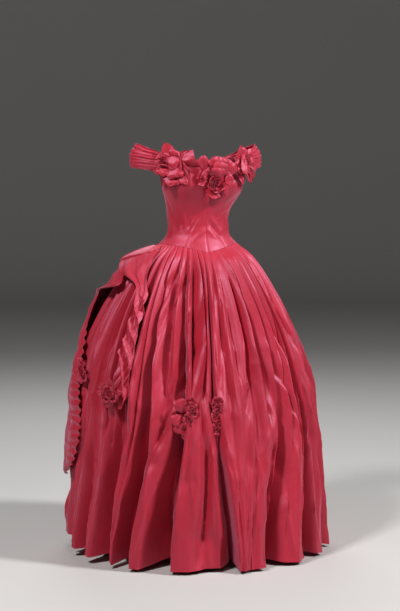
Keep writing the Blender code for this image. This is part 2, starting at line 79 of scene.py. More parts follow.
FOLDS = (
    # gather, bearing half way down, bearing at the hem, depths at each quarter, width in percent
    (1, 8, 1, 4, 10, 46, 92, 34), (2, 14, 9, 4, 4, 16, 46, 34), (4, 25, 39, 14, 36, 76, 122, 34),
    (6, 40, 52, 24, 40, 74, 112, 36), (8, 55, 64, 30, 42, 68, 104, 36), (10, 70, 80, 14, 22, 44, 80, 44),
    (13, 90, 97, 18, 28, 46, 66, 44), (16, 114, 122, 18, 30, 50, 78, 44),
    (18, 128, 136, 24, 36, 60, 88, 40), (21, 146, 152, 22, 40, 66, 92, 44),
    (24, 167, 170, 26, 44, 72, 98, 44), (26, 180, 186, 20, 38, 60, 90, 40),
    (29, 202, 204, 26, 46, 70, 96, 44), (31, 215, 219, 22, 38, 62, 86, 40),
    (34, 235, 238, 24, 42, 68, 92, 44), (36, 249, 255, 20, 36, 56, 80, 40),
    (39, 271, 275, 22, 36, 56, 78, 44), (42, 294, 298, 18, 26, 60, 104, 38),
    (45, 315, 318, 20, 28, 70, 122, 38), (48, 331, 342, 20, 34, 92, 150, 40),
    (50, 347, 354, 30, 24, 8, 4, 36),
)
HEM_LIFTS = ((0, 2), (50, 6), (85, 20), (112, 34), (140, 14), (180, 2), (270, 3), (330, 3), (360, 2))
print("tables:", len(BODICE), "bodice heights,", len(SKIRT), "skirt drops,", len(FOLDS), "deep folds")

# %% [markdown]
# ## Reading a table as a smooth curve
# Cloth has no corners between the sizes in a table. A cubic curve through the rows could be drawn with
# Blender's curve objects, but a small function reads thousands of points at once, which a fine sheet needs.

# %% Smooth reading and soft noise


def read(table, column, at):
    """Values of a smooth curve through one column of a table, at every station in an array."""
    rows = np.array(sorted(table), float)
    x, y = rows[:, 0], rows[:, column]
    at = np.clip(np.asarray(at, float), x[0], x[-1])
    low = np.clip(np.searchsorted(x, at, "right") - 1, 0, len(x) - 2)
    before, after = np.maximum(np.arange(len(x)) - 1, 0), np.minimum(np.arange(len(x)) + 1, len(x) - 1)
    slope = (y[after] - y[before]) / (x[after] - x[before])
    span = x[low + 1] - x[low]
    t = (at - x[low]) / span
    return (
        y[low] * (1 + 2 * t) * (1 - t) ** 2 + y[low + 1] * t * t * (3 - 2 * t)
        + slope[low] * span * t * (1 - t) ** 2 + slope[low + 1] * span * t * t * (t - 1)
    )


def ease(share):
    share = np.clip(share, 0, 1)
    return share * share * (3 - 2 * share)


def scatter(number, salt=0.0):
    """A repeatable value from 0 to 1 for each whole number, for the uneven look of handwork."""
    value = np.sin(np.asarray(number, float) * 12.9898 + salt * 78.233 + 1.7) * 43758.5453
    return value - np.floor(value)


def wander(u, v, salt=0.0, around=10 ** 6):
    """Soft noise from -1 to 1, one hill to each unit of u and v. It meets itself after around units of u."""
    u, v = np.broadcast_arrays(np.asarray(u, float), np.asarray(v, float))
    iu, iv = np.floor(u), np.floor(v)
    fu, fv = ease(u - iu), ease(v - iv)

    def corner(a, b):
        return scatter(np.mod(iu + a, around) * 57.0 + (iv + b) * 131.0, salt)

    low = corner(0, 0) * (1 - fu) + corner(1, 0) * fu
    high = corner(0, 1) * (1 - fu) + corner(1, 1) * fu
    return 2 * (low * (1 - fv) + high * fv) - 1


def creases(u, v, salt=0.0, around=10 ** 6):
    """Sharp-edged noise from 0 to 1, like the ridges in crisp taffeta that has been crushed."""
    small = wander(u * 2, v * 2.1, salt + 3, around * 2)
    return 1 - np.abs(wander(u, v, salt, around) + 0.5 * small) / 1.5


def rounds(turns):
    """A row of rounded pleats from 0 to 1, one to each unit."""
    return np.abs(np.sin(math.pi * turns))


print("curve check, waist half width:", float(read(BODICE, 1, 0)))

# %% [markdown]
# ## The body of the gown as two surfaces
# The bodice follows a figure closely, with a cup at each side of the front. The skirt leaves the waist
# seam like a bell and swells at the wearer's right under the drape. Both are made of rings: a half
# width, a front depth and a back depth at each height. A lathe would make them round, so rings it is.

# %% Bodice and skirt surfaces


def ring_point(bearing, half_width, front, back, height):
    turn = np.radians(bearing)
    depth = np.where(np.cos(turn) > 0, front, back)
    parts = np.broadcast_arrays(-half_width * np.sin(turn), -depth * np.cos(turn), height)
    return np.stack(parts, axis=-1)


def outward(point):
    """Level unit vectors away from the gown's upright axis."""
    level = point * np.array((1, 1, 0))
    return level / np.linalg.norm(level, axis=-1, keepdims=True)


def folded_bearing(bearing):
    bearing = np.mod(bearing, 360)
    return np.minimum(bearing, 360 - bearing)


def neckline(bearing):
    return read(EDGES, 1, folded_bearing(bearing)) * MM


def waist_seam(bearing):
    return read(EDGES, 2, folded_bearing(bearing)) * MM


def soft_hill(bearing, height, middle, at, up, aside):
    """A rounded hill at one height and bearing, on both sides of the body."""
    return np.exp(-((height / MM - middle) / up) ** 2 - ((folded_bearing(bearing) - at) / aside) ** 2)


def body_point(bearing, height):
    point = ring_point(bearing, *(read(BODICE, c, height / MM) * MM for c in (1, 2, 3)), height)
    fuller = np.where(np.mod(bearing, 360) > 180, FULLER_LEFT, FULLER_RIGHT)
    bust = CUP_DEPTH * soft_hill(bearing, height, *CUP) + fuller * soft_hill(bearing, height, *FULLER)
    return point + outward(point) * (bust * MM)[..., None]


def skirt_ring(bearing, drop, stands):
    stands = stands + read(SKIRT, 4, drop / MM) * MM * read(SWELL, 1, np.mod(bearing, 360))
    return ring_point(bearing, *(read(SKIRT, c, drop / MM) * MM + stands for c in (1, 2, 3)), 0)


def skirt_outline(bearing, drop, stands=0.0):
    seam = body_point(bearing, waist_seam(bearing)) * np.array((1, 1, 0))
    point = skirt_ring(bearing, drop, stands)
    blend = 1 - ease(drop / HIP_BLEND)
    point = point + (seam - skirt_ring(bearing, drop * 0, 0)) * blend[..., None]
    point[..., 2] = waist_seam(bearing) - drop
    return point


print("bust half width at 130 mm:", round(float(-body_point(np.array(90.0), np.array(0.13))[0]), 4))

# %% [markdown]
# ## Camera and light
# The photograph was taken from a little to the wearer's right of the front, at chest height, with a
# long lens. Two soft lights stand high in front, one to each side, so that each fold has a lit wall and
# a shaded one. The one at the wearer's left is the stronger. A weak one behind lifts the outline, and
# the world adds very little, because light from all round would fill the folds.

# %% Camera


def aim(obj, target):
    obj.rotation_euler = (Vector(target) - obj.location).to_track_quat("-Z", "Y").to_euler()


CAMERA_DISTANCE, CAMERA_HEIGHT, CAMERA_BEARING = 5.5, 0.16, 18
PITCH, LENS, SENSOR, SHIFT = 4.62, 92.4, 36, 0.0033
turn = math.radians(CAMERA_BEARING)
camera = bpy.data.objects.new("camera", bpy.data.cameras.new("camera"))
camera.location = (-math.sin(turn) * CAMERA_DISTANCE, -math.cos(turn) * CAMERA_DISTANCE, CAMERA_HEIGHT)
aim(camera, (0, 0, CAMERA_HEIGHT - math.tan(math.radians(PITCH)) * CAMERA_DISTANCE))
camera.data.lens, camera.data.sensor_width, camera.data.shift_x = LENS, SENSOR, SHIFT
bpy.context.scene.collection.objects.link(camera)
bpy.context.scene.camera = camera
print("camera at", [round(v, 2) for v in camera.location], "lens", camera.data.lens)

# %% Lights and world
LIT_PLACE = (0, 0, -0.2)
LIGHTS = (
    # name, place, power in watts, width
    ("key", (-3.0, -2.4, 3.4), 226, 0.7),
    ("side", (3.1, -2.8, 3.3), 305, 0.7),
    ("back", (0.6, 3.4, 2.6), 60, 2.0),
)
for name, place, power, width in LIGHTS:
    lamp = bpy.data.objects.new(name, bpy.data.lights.new(name, "AREA"))
    lamp.data.energy, lamp.data.size, lamp.location = power, width, place
    aim(lamp, LIT_PLACE)
    bpy.context.scene.collection.objects.link(lamp)
world = bpy.data.worlds.new("studio")
world.use_nodes = True
sky = world.node_tree.nodes["Background"].inputs
sky["Color"].default_value, sky["Strength"].default_value = (0.80, 0.82, 0.86, 1), 0.02
bpy.context.scene.world = world
bpy.context.scene.view_settings.view_transform = "Standard"
print("lights:", len(LIGHTS))

# %% [markdown]
# ## Making a material by hand
# Each finish below is a Principled shader, and the cloth's has a few nodes before it. One small helper
# adds a node, sets it and links it, and another turns the sRGB colours seen on screen into the linear
# ones that Blender works with.

# %% Two helpers for materials


def linear(hex_colour):
    parts = [int(hex_colour[i : i + 2], 16) / 255 for i in (1, 3, 5)]
    return (*[p / 12.92 if p <= 0.04045 else ((p + 0.055) / 1.055) ** 2.4 for p in parts], 1)


def node(material, kind, settings=(), **links):
    """Add a node. Settings name its properties or inputs, and links join inputs to other sockets."""
    made = material.node_tree.nodes.new(kind)
    for name, value in dict(settings).items():
        if name in made.inputs:
            made.inputs[name].default_value = value
        else:
            setattr(made, name, value)
    for name, socket in links.items():
        material.node_tree.links.new(socket, made.inputs[name.replace("_", " ")])
    return made


def new_material(name):
    material = bpy.data.materials.new(name)
    material.use_nodes = True
    return material, material.node_tree.nodes["Principled BSDF"]


print("helpers ready, taffeta red is", [round(v, 3) for v in linear("#B01428")])

# %% [markdown]
# ## Silk taffeta
# Taffeta is a tight plain weave of silk, crisp and a little stiff, with faint crosswise ribs where the
# thicker weft lies. Its base colour is a deep red with slow, faint changes from the dyeing, and it
# sinks to a darker red in the folds, because light that has bounced between two red walls comes out
# redder. Silk threads throw a broad soft shine, which is tinted pink here, as the lit ridges are in the
# photograph. Real ribs are 0.3 mm apart, too fine to show in a picture of a whole gown, so they are
# drawn 2.5 mm apart and very shallow.

# %% The taffeta material
RIB_SPACING = 2.5 * MM
CRUSH_SIZE = 28 * MM
RIB_SCALE = 1 / RIB_SPACING / 20 * math.tau  # Blender's wave texture draws 20 / tau bands to a unit of scale
taffeta, shader = new_material("silk_taffeta")
place = node(taffeta, "ShaderNodeTexCoord")
slow = node(taffeta, "ShaderNodeTexNoise", {"Scale": 4.0, "Detail": 3.0}, Vector=place.outputs["Object"])
colour = node(taffeta, "ShaderNodeValToRGB", {}, Fac=slow.outputs["Fac"])
for stop, at, shade in zip(colour.color_ramp.elements, (0.3, 0.7), ("#A40E1E", "#B01428")):
    stop.position, stop.color = at, linear(shade)
ribs = node(
    taffeta, "ShaderNodeTexWave",
    {"Scale": RIB_SCALE, "Distortion": 1.2, "Detail": 2.0, "bands_direction": "Y"},
    Vector=place.outputs["UV"],
)
crush = node(taffeta, "ShaderNodeTexNoise", {"Scale": 1 / CRUSH_SIZE, "Detail": 4.0, "Roughness": 0.55},
             Vector=place.outputs["Object"])
fine = node(taffeta, "ShaderNodeBump", {"Strength": 0.10, "Distance": 0.0004}, Height=ribs.outputs["Fac"])
soft = node(taffeta, "ShaderNodeBump", {"Strength": 0.25, "Distance": 0.003}, Height=crush.outputs["Fac"],
            Normal=fine.outputs["Normal"])
gloss = node(
    taffeta, "ShaderNodeMapRange",
    {"From Min": 0.3, "From Max": 0.7, "To Min": 0.46, "To Max": 0.56}, Value=crush.outputs["Fac"],
)
for made, output, socket in (
    (colour, "Color", "Base Color"), (soft, "Normal", "Normal"), (gloss, "Result", "Roughness"),
):
    taffeta.node_tree.links.new(made.outputs[output], shader.inputs[socket])
SHINE = (
    ("Specular IOR Level", 0.85), ("Specular Tint", linear("#FFC8F0")),
    ("Sheen Weight", 0.28), ("Sheen Roughness", 0.5), ("Sheen Tint", linear("#FFBEE6")),
)
for socket, value in SHINE:
    shader.inputs[socket].default_value = value
print("taffeta nodes:", len(taffeta.node_tree.nodes))

# %% [markdown]
# ## The floor
# A studio's floor is one pale painted sheet that curves up behind. A plane and a wall would show a line
# where they meet, so this is a disc whose rim is extruded upwards and bevelled, the same from all sides.

# %% Floor and cove
COVE_RADIUS, COVE_BEND, COVE_HEIGHT = 16.0, 5.0, 9.0
floor_material, floor_shader = new_material("pale_painted_studio_cove")
floor_shader.inputs["Base Color"].default_value = linear("#C4C2C0")
floor_shader.inputs["Roughness"].default_value = 0.75
bpy.ops.object.select_all(action="DESELECT")
bpy.ops.mesh.primitive_circle_add(vertices=96, radius=COVE_RADIUS, fill_type="NGON", location=(0, 0, FLOOR))
floor = bpy.context.object
floor.name = "studio_cove"
bpy.ops.object.transform_apply(location=True, rotation=False, scale=False)
bpy.ops.object.mode_set(mode="EDIT")
bpy.ops.mesh.select_all(action="SELECT")
bpy.ops.mesh.inset(thickness=COVE_BEND)
bpy.ops.mesh.select_all(action="DESELECT")
bpy.ops.object.mode_set(mode="OBJECT")
for vertex in floor.data.vertices:
    vertex.select = vertex.co.xy.length > COVE_RADIUS - 0.01
for edge in floor.data.edges:
    edge.select = all(floor.data.vertices[v].select for v in edge.vertices)
bpy.ops.object.mode_set(mode="EDIT")
bpy.ops.mesh.extrude_region_move(TRANSFORM_OT_translate={"value": (0, 0, COVE_HEIGHT)})
bpy.ops.object.mode_set(mode="OBJECT")
bend = floor.modifiers.new("bend", "BEVEL")
bend.width, bend.segments, bend.limit_method, bend.angle_limit = COVE_BEND * 0.95, 16, "ANGLE", 1.0
bpy.ops.object.modifier_apply(modifier="bend")
floor.data.shade_smooth()
floor.data.materials.append(floor_material)
print("cove:", len(floor.data.vertices), "points, floor at", FLOOR)

# %% [markdown]
# ## Turning a grid of points into cloth
# Each sheet is worked out as a grid of points, rows down and columns across. The helper makes the mesh,
# gives it a UV map in metres for the weave, adds a wall with Solidify, names the sheet after the solid
# it stands for and hides that solid. A sheet could also be a subdivided plane pulled into place, but
# folds that must land at measured places are surer as numbers.

# %% A mesh from one or more grids
SHELL, SMOOTH_UP_TO = 0.8 * MM, math.radians(55)


def steps(grid, way):
    """Distances between neighbouring points, down the grid (0) or across it (1)."""
    return np.linalg.norm(np.diff(grid, axis=way), axis=2)


def cloth_mesh(name, grids, shell=SHELL, inside=None):
    """One object from one or more grids of points, with a wall on the side of the point inside."""
    verts, faces, uvs = [], [], []
    for grid in grids:
        grid = np.asarray(grid, float)
        rows, columns = grid.shape[:2]
        u = np.pad(np.cumsum(steps(grid, 1), axis=1), ((0, 0), (1, 0)))
        v = np.pad(np.cumsum(steps(grid, 0), axis=0), ((1, 0), (0, 0)))
        index = sum(len(g) for g in verts) + np.arange(rows * columns).reshape(rows, columns)
        quads = np.stack([index[:-1, :-1], index[1:, :-1], index[1:, 1:], index[:-1, 1:]], axis=-1)
        r, c = rows // 2, columns // 2
        normal = np.cross(grid[r, c + 1] - grid[r, c - 1], grid[r + 1, c] - grid[r - 1, c])
        if np.dot(normal, grid[r, c] - ((0, 0, grid[r, c, 2]) if inside is None else inside)) > 0:
            quads = quads[..., ::-1]  # so that faces point away from the inside
        verts.append(grid.reshape(-1, 3))
        faces.append(quads.reshape(-1, 4))
        uvs.append(np.stack([u, v], axis=-1).reshape(-1, 2))
    verts, faces, uvs = np.concatenate(verts), np.concatenate(faces), np.concatenate(uvs)
    mesh = bpy.data.meshes.new(name)
    mesh.from_pydata(verts.tolist(), [], faces.tolist())
    layer = mesh.uv_layers.new(name="weave")
    layer.data.foreach_set("uv", uvs[faces.reshape(-1)].reshape(-1))
    made = bpy.data.objects.new(name, mesh)
    bpy.context.scene.collection.objects.link(made)
    wall = made.modifiers.new("wall", "SOLIDIFY")
    wall.thickness, wall.offset = shell, -1
    bpy.ops.object.select_all(action="DESELECT")
    made.select_set(True)
    bpy.context.view_layer.objects.active = made
    bpy.ops.object.modifier_apply(modifier="wall")
    bpy.ops.object.shade_smooth_by_angle(angle=SMOOTH_UP_TO, keep_sharp_edges=False)
    made.data.materials.append(taffeta)
    return made


print("cloth wall:", SHELL)

# %% Measuring a sheet and putting it in


def sheet_area(grid):
    grid = np.asarray(grid)
    a = np.cross(grid[1:, :-1] - grid[:-1, :-1], grid[:-1, 1:] - grid[:-1, :-1])
    b = np.cross(grid[:-1, 1:] - grid[1:, 1:], grid[1:, :-1] - grid[1:, 1:])
    return float((np.linalg.norm(a, axis=-1).sum() + np.linalg.norm(b, axis=-1).sum()) / 2)


def sheet_size(grid):
    """The longest way across and the longest way down, to the millimetre."""
    return tuple(round(float(steps(grid, way).sum(axis=way).max()), 3) for way in (1, 0))


def sew(node_name, grids, flat, held, rests_on, least=0.3, **mesh_options):
    """Make the sheet that replaces one solid, hang it from the root and hide the solid.
    The arguments flat, held, rests_on and least are not used. The flat area is the modelled sheet's
    own area, kept between a least share of the cut and all of it."""
    made = cloth_mesh(f"cloth_{node_name}", grids, **mesh_options)
    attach(made, "root")
    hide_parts(node_name)
    made.data.calc_loop_triangles()


print("the area of a square metre:", sheet_area([[(0, 0, 0), (1, 0, 0)], [(0, 0, 1), (1, 0, 1)]]))

# %% [markdown]
# ## The skirt
# Five widths of taffeta are gathered into the waist seam. Near the seam the cloth stands in small tight
# pleats that fade as it falls, and lower down the same fullness runs together into a few deep folds,
# each at a place measured from the photograph. Cloth simulation could drape it, but it would choose
# its own folds. So the folds are placed one by one: FOLDS lists the deep ones, and the tables below add
# the valleys between gathers, single creases that slant across them, dents and crushed ridges. A place
# round the skirt is a gather, from 0 at the centre front to 52, and a place down it is a share from the
# waist seam to the hem.

# %% Where the folds run
# share of the way down and size in mm, for the valleys, the crests and the ripples between them
VALLEY_DEPTHS = ((0, 4), (0.03, 13), (0.1, 28), (0.25, 44), (0.45, 48), (0.65, 46), (0.85, 42), (1, 38))
CREST_HEIGHTS = ((0, 2), (0.05, 6), (0.2, 12), (0.5, 12), (0.8, 9), (1, 7))
RIPPLE_DEPTHS = ((0, 1.4), (0.05, 3.0), (0.2, 3.0), (0.4, 1.8), (0.6, 0.9), (1, 0.4))
# how far down the valley after some front gathers reaches, where the photograph shows its end
SHORT_VALLEYS = {
    0: 0.62, 1: 0.7, 2: 0.5, 3: 0.55, 5: 0.6, 7: 0.7, 9: 0.7, 47: 0.7, 49: 0.62, 50: 0.5, 51: 0.56,
}
print("gathers with a short valley:", len(SHORT_VALLEYS))

# %% Single creases, dents and crushed ridges
LONG_CREASES = (
    # percent of the way down and gather at the start, half way and the end, half width in percent of
    # the space between two gathers, depth in mm
    (4, 4.7, 15, 5.8, 30, 6.3, 16, 16), (4, 4.4, 24, 5.35, 42, 5.95, 18, 26),
    (5, 3, 30, 3.8, 52, 5.05, 20, 32), (6, 2.1, 25, 2.9, 46, 4, 16, 20),
    (6, 1.7, 25, 2.3, 46, 2.85, 16, 20), (12, 1.4, 35, 0.9, 56, 0.9, 18, 12),
    (6, 0, 25, 0.35, 46, 0.4, 14, 18), (4, -0.85, 25, -0.1, 50, 0.3, 14, 18),
    (6, -2.3, 28, -1.85, 54, -1.2, 22, 36), (4, -2.3, 14, -2.8, 29, -3.3, 12, 16),
    (3, -4.9, 25, -5.3, 56, -7.1, 18, 28), (25, -3.1, 40, -3.2, 62, -3.7, 20, 30),
    (28, -3.4, 42, -4.4, 58, -5.9, 16, 24), (3, -7.3, 25, -8.1, 52, -10.7, 18, 26),
    (2, 7.5, 22, 7.1, 46, 7.35, 20, 28), (4, 4.95, 30, 6, 64, 5.75, 20, 36),
    (4, 3.4, 20, 4.8, 45, 5.3, 16, 22), (28, 2.4, 50, 4.6, 70, 5.75, 20, 34),
    (50, 8.7, 64, 9.5, 78, 9.65, 16, 16), (50, 8.5, 65, 8.2, 80, 7.9, 14, 14),
    (48, 8.7, 68, 8.5, 104, 7.45, 18, 32), (54, 7.35, 68, 7.6, 104, 7, 20, 34),
    (52, 4.8, 70, 5.5, 104, 5.75, 16, 22), (56, 4, 75, 4.25, 104, 3.65, 24, 30),
    (57, 4.1, 70, 3.65, 104, 3.4, 12, 14), (58, 1.5, 72, 2, 104, 2.7, 26, 34),
    (54, 0.55, 75, 1.15, 104, 1, 26, 34), (58, -3.3, 80, -3.2, 104, -3.4, 20, 30),
    (60, -3.5, 75, -4.7, 104, -4.8, 26, 26), (58, -6.8, 75, -6.4, 104, -6.2, 14, 26),
)
SIDE_CREASES = (
    (3, 11.2, 20, 11.6, 50, 12, 18, 26), (5, 13.4, 30, 13.1, 60, 13.6, 20, 30),
    (30, 12.3, 60, 11.6, 104, 11.9, 26, 44), (45, 14.8, 70, 14.4, 104, 14.9, 24, 40),
    (3, -12.2, 25, -12.6, 50, -12.2, 18, 26), (5, -14.2, 30, -13.8, 60, -14.4, 20, 30),
    (30, -10.9, 60, -11.5, 104, -11.2, 24, 40), (50, -13.2, 70, -13.8, 104, -13.5, 24, 40),
    (40, -15.4, 70, -15, 104, -15.3, 20, 30), (20, -9.1, 50, -9.3, 104, -8.8, 20, 30),
)
# the back can't be seen, so it has the creases of the front, mirrored
BACK_CREASES = tuple(
    (a, GATHERS / 2 - b, c, GATHERS / 2 - d, e, GATHERS / 2 - f, width, depth)
    for a, b, c, d, e, f, width, depth in LONG_CREASES
)
DENTS = (
    # gather, then percents: of the way down, how wide and how tall. Then depth in mm and slant
    (5.3, 66.5, 40, 2.2, 9, 0.3), (3.2, 72, 50, 3, 9, -0.3), (2.4, 90, 60, 3.5, 10, 0.4),
    (-3.2, 77, 60, 3, 8, -0.5), (-1.3, 66, 50, 3, 6, 0.4), (4.6, 79, 40, 5, 6, 0.2),
    (-7.5, 62, 70, 3, 7, 0.5), (12.2, 70, 50, 3, 7, -0.3), (14.5, 84, 60, 3, 8, 0.4),
    (19.4, 66, 60, 3, 8, 0.3), (22.6, 80, 50, 3, 8, -0.4), (25.2, 70, 60, 4, 7, 0.3),
    (27.6, 86, 60, 3, 9, -0.3), (30.1, 68, 60, 3, 7, 0.4), (32.8, 80, 50, 3, 8, 0.3),
    (37.5, 66, 60, 3, 7, -0.4), (40.5, 80, 70, 3, 8, 0.3), (43.4, 70, 50, 4, 7, -0.3),
)
CRUSHED = (
    # lean, ridges round the skirt, ridges down it, salt, sharpness, height
    (2.5, 41, 3.2, 13, 5, 8), (-3.5, 37, 4.1, 16, 6, 5), (0.8, 88, 6, 14, 5, 2.4), (1.6, 67, 1.3, 17, 7, 5),
    (-2.2, 59, 1.1, 19, 7, 5),
)
print("creases:", len(LONG_CREASES), "in front,", len(SIDE_CREASES), "at the sides, and", len(DENTS), "dents")

# %% Where each line of cloth runs


def gathers_from(gather, mark):
    """How far each line of cloth is from a mark, the short way round the skirt."""
    return np.mod(gather - mark + GATHERS / 2, GATHERS) - GATHERS / 2


def fold_bearing(fold, share):
    """Bearing of a deep fold, which drifts on its way from the seam past the middle to the hem."""
    top = fold[0] * 360 / GATHERS
    upper = top + (fold[1] - top) * ease(share / 0.5)
    lower = fold[1] + (fold[2] - fold[1]) * ease((share - 0.5) / 0.5)
    return np.where(share < 0.5, upper, lower)


def gather_bearing(gather, share):
    """Bearing of each line of cloth, which keeps its place between the folds beside it."""
    marks = [(FOLDS[-1], -1), *((fold, 0) for fold in FOLDS), (FOLDS[0], 1)]
    places = [fold[0] + GATHERS * lap for fold, lap in marks]
    levels = [fold_bearing(fold, share) + 360 * lap for fold, lap in marks]
    bearing = np.empty(np.broadcast_shapes(gather.shape, share.shape))
    turns, inside = np.divmod(gather, GATHERS)
    for i in range(len(marks) - 1):
        along = (inside - places[i]) / (places[i + 1] - places[i])
        between = (inside >= places[i]) & (inside <= places[i + 1])
        bearing = np.where(between, levels[i] + (levels[i + 1] - levels[i]) * along, bearing)
    return bearing + 360 * turns


def ring_noise(gather, hills, down, salt):
    """Soft noise round the whole skirt, with a number of hills round it, that closes on itself."""
    return wander(gather * hills / GATHERS, down, salt, hills)


print("bearing of gather 13 at the hem:", round(float(gather_bearing(np.array(13.0), np.array(1.0))), 1))

# %% Gathers that join as they fall


def gathers_relief(gather, share):
    """How far the gathers stand from the plain bell, and how far each one leans over to one side.
    Each valley between two gathers has its own depth and length, so that gathers join as they fall."""
    bent = gather + 0.18 * ring_noise(gather, 38, share * 1.6, 3) * ease(share / 0.1)
    start = np.floor(bent)
    inside = bent - start
    first, second = np.mod(start, GATHERS), np.mod(start + 1, GATHERS)

    def valley(number):
        length = 0.42 + 0.9 * scatter(number, 31) ** 1.3
        for short, reach in SHORT_VALLEYS.items():
            length = np.where(number == short, reach, length)
        fade = 1 - ease((share - 0.55 * length) / (0.5 * length))
        return -read(VALLEY_DEPTHS, 1, share) * (0.25 + 0.75 * scatter(number, 32)) * fade

    low = valley(first) + (valley(second) - valley(first)) * inside
    crest = read(CREST_HEIGHTS, 1, share) * (0.3 + 0.7 * scatter(first, 33))
    peak = 0.5 + 0.36 * (scatter(first, 34) - 0.5)
    tent = np.where(inside < peak, inside / peak, (1 - inside) / (1 - peak))
    tent = 0.65 * tent + 0.35 * (1 - (1 - tent) ** 3)
    stands = low + (crest - low) * tent
    lean = (scatter(first, 6) - 0.5) * 1.3 * (stands - low)
    patch = ease(0.5 + 0.8 * ring_noise(gather, 42, share * 2.5, 7))
    ripple = rounds(3 * bent + 0.5 * ring_noise(gather, 31, share * 3, 8)) - 0.6
    return stands + read(RIPPLE_DEPTHS, 1, share) * patch * ripple, lean


# %% Deep folds and slanting creases


def deep_folds(gather, share):
    """The hollows of the deep folds, which widen and get straight walls as they near the hem."""
    spread, firm = ease((share - 0.45) / 0.5), 0.8 * ease((share - 0.4) / 0.3)
    hollow = lean = 0
    for mark, _, _, *quarters, width in FOLDS:
        depth = read(tuple(zip((0, 0.25, 0.5, 0.75, 1), (0, *quarters))), 1, share)
        across = np.abs(gathers_from(gather, mark) / (width / 100) / (1 + 0.45 * spread))
        round_walls = 0.84 * np.exp(-across ** (2.2 + 0.8 * spread)) + 0.16 * np.exp(-across * 2.6)
        flat_walls = np.clip((1.35 - across) / 0.8, 0, 1)
        shape = np.where(across < 5, round_walls, 0) * (1 - firm)
        shape = shape + firm * (0.8 * flat_walls + 0.2 * ease(flat_walls))
        hollow = hollow - depth * shape
        lean = lean + (scatter(mark, 9) - 0.5) * 0.6 * depth * shape
    return hollow, lean


def slanting_creases(gather, share):
    """Single creases: each falls steeply on one side and slowly on the other, with a low rim."""
    percent, hollow = 100 * share, 0
    for n, (s0, g0, s1, g1, s2, g2, width, depth) in enumerate(LONG_CREASES + SIDE_CREASES + BACK_CREASES):
        centre = read(((s0, g0), (s1, g1), (s2, g2)), 1, percent)
        across = np.clip(gathers_from(gather, centre) / (width / 100) * (1 if n % 2 else -1), -9, 9)
        across = np.abs(np.where(across > 0, across * 0.62, across * 1.5))
        length = ease((percent - s0 + 2) / 10) * ease((s2 + 2 - percent) / 10)
        shape = np.exp(-across ** 1.2) - 0.16 * np.exp(-((across - 1.9) ** 2))
        hollow = hollow - (0.55 if s0 < 45 else 0.8) * depth * shape * length
    return hollow


print("deepest fold at the hem:", max(fold[6] for fold in FOLDS), "mm")

# %% Crumples, and the whole skirt
COLUMNS_PER_GATHER, SKIRT_ROWS = 15, 110


def skirt_crumple(gather, share):
    """Small crisp dents of crushed taffeta, stronger lower down, and soft slanting drags."""
    low = ease((share - 0.10) / 0.4)
    soft = ring_noise(gather + 1.4 * share, 46, share * 3, 11) * 2.6
    crisp = dents = 0
    for lean, hills, down, salt, sharp, height in CRUSHED:
        ridges = creases((gather + lean * share) * hills / GATHERS, share * down, salt, hills)
        crisp = crisp + ridges ** sharp * height
    for mark, down, wide, tall, depth, slant in DENTS:
        rise = (100 * share - down) / tall
        apart = 100 * gathers_from(gather, mark) / wide + slant * rise
        near = np.where(np.abs(apart) + np.abs(rise) < 8, apart * apart + np.abs(rise) ** 1.5, 60)
        dents = dents - depth * np.exp(-near)
    return (soft + crisp) * low + dents


def skirt_point(gather, share):
    bearing = gather_bearing(gather, share)
    seam = waist_seam(bearing) - SEAM_GAP
    hem = FLOOR + HEM_CLEARANCE + read(HEM_LIFTS, 1, np.mod(bearing, 360)) * MM
    (gathered, tilt), (hollow, lean) = gathers_relief(gather, share), deep_folds(gather, share)
    relief = gathered + hollow + slanting_creases(gather, share)
    ragged = 5 * np.abs(ring_noise(gather, 41, share * 0, 15))
    hem = hem + (np.maximum(0, -relief) * 0.12 * share + ragged) * MM
    drop = (seam - hem) * share
    point = skirt_outline(bearing, drop)
    point[..., 2] = seam - drop
    out = outward(point)
    along = np.stack([out[..., 1], -out[..., 0], 0 * out[..., 0]], axis=-1)
    relief = relief + skirt_crumple(gather, share)
    return point + (out * relief[..., None] + along * (tilt + lean)[..., None]) * MM


print("skirt columns:", GATHERS * COLUMNS_PER_GATHER, "rows:", SKIRT_ROWS)

# %% Make the five widths
CLOTH_WIDTH = 1.40
SKIRT_WIDTHS = (
    # node, first gather, last gather, flat length
    ("skirt_front", -5, 6, 1.12), ("skirt_side_right", 6, 16, 1.12), ("skirt_back_right", 16, 26, 1.16),
    ("skirt_back_left", 26, 36, 1.16), ("skirt_side_left", 36, 47, 1.12),
)
LEAST_FULLNESS = 0.62  # a width's flat area is stated as at least this share of its cut
rows = np.linspace(0, 1, SKIRT_ROWS + 1) ** 1.25
for name, first, last, length in SKIRT_WIDTHS:
    columns = np.linspace(first, last, (last - first) * COLUMNS_PER_GATHER + 1)
    grid = skirt_point(columns[None, :], rows[:, None])
    grid[:, [0, -1]] -= outward(grid[:, [0, -1]]) * SEAM_DIP
    sew(name, [grid], (CLOTH_WIDTH, length), "gathered", ["bodice"], LEAST_FULLNESS)

# %% [markdown]
# ## The bodice
# Eight shaped panels are seamed together: centre fronts, side fronts with their princess seams, side
# backs and centre backs. The cloth is pulled tight, so drag lines run from the bust down to the point
# of the waist: each is a ridge or a dip between two points of a table. Each panel's long edges dip a
# little where the seam allowance is pressed behind, and pucker a little along the stitches.

# %% The seams between the panels
SEAMS = (
    # seam, bearing at the neckline, at the waist, at the bottom
    ("centre_front", 0, 0, 0), ("princess_front", 36, 30, 28), ("side", 92, 90, 90),
    ("princess_back", 140, 148, 150), ("centre_back", 180, 180, 180),
)
PANELS = ("front_centre", "front_side", "back_side", "back_centre")
PANEL_COLUMNS, PANEL_ROWS = 32, 84


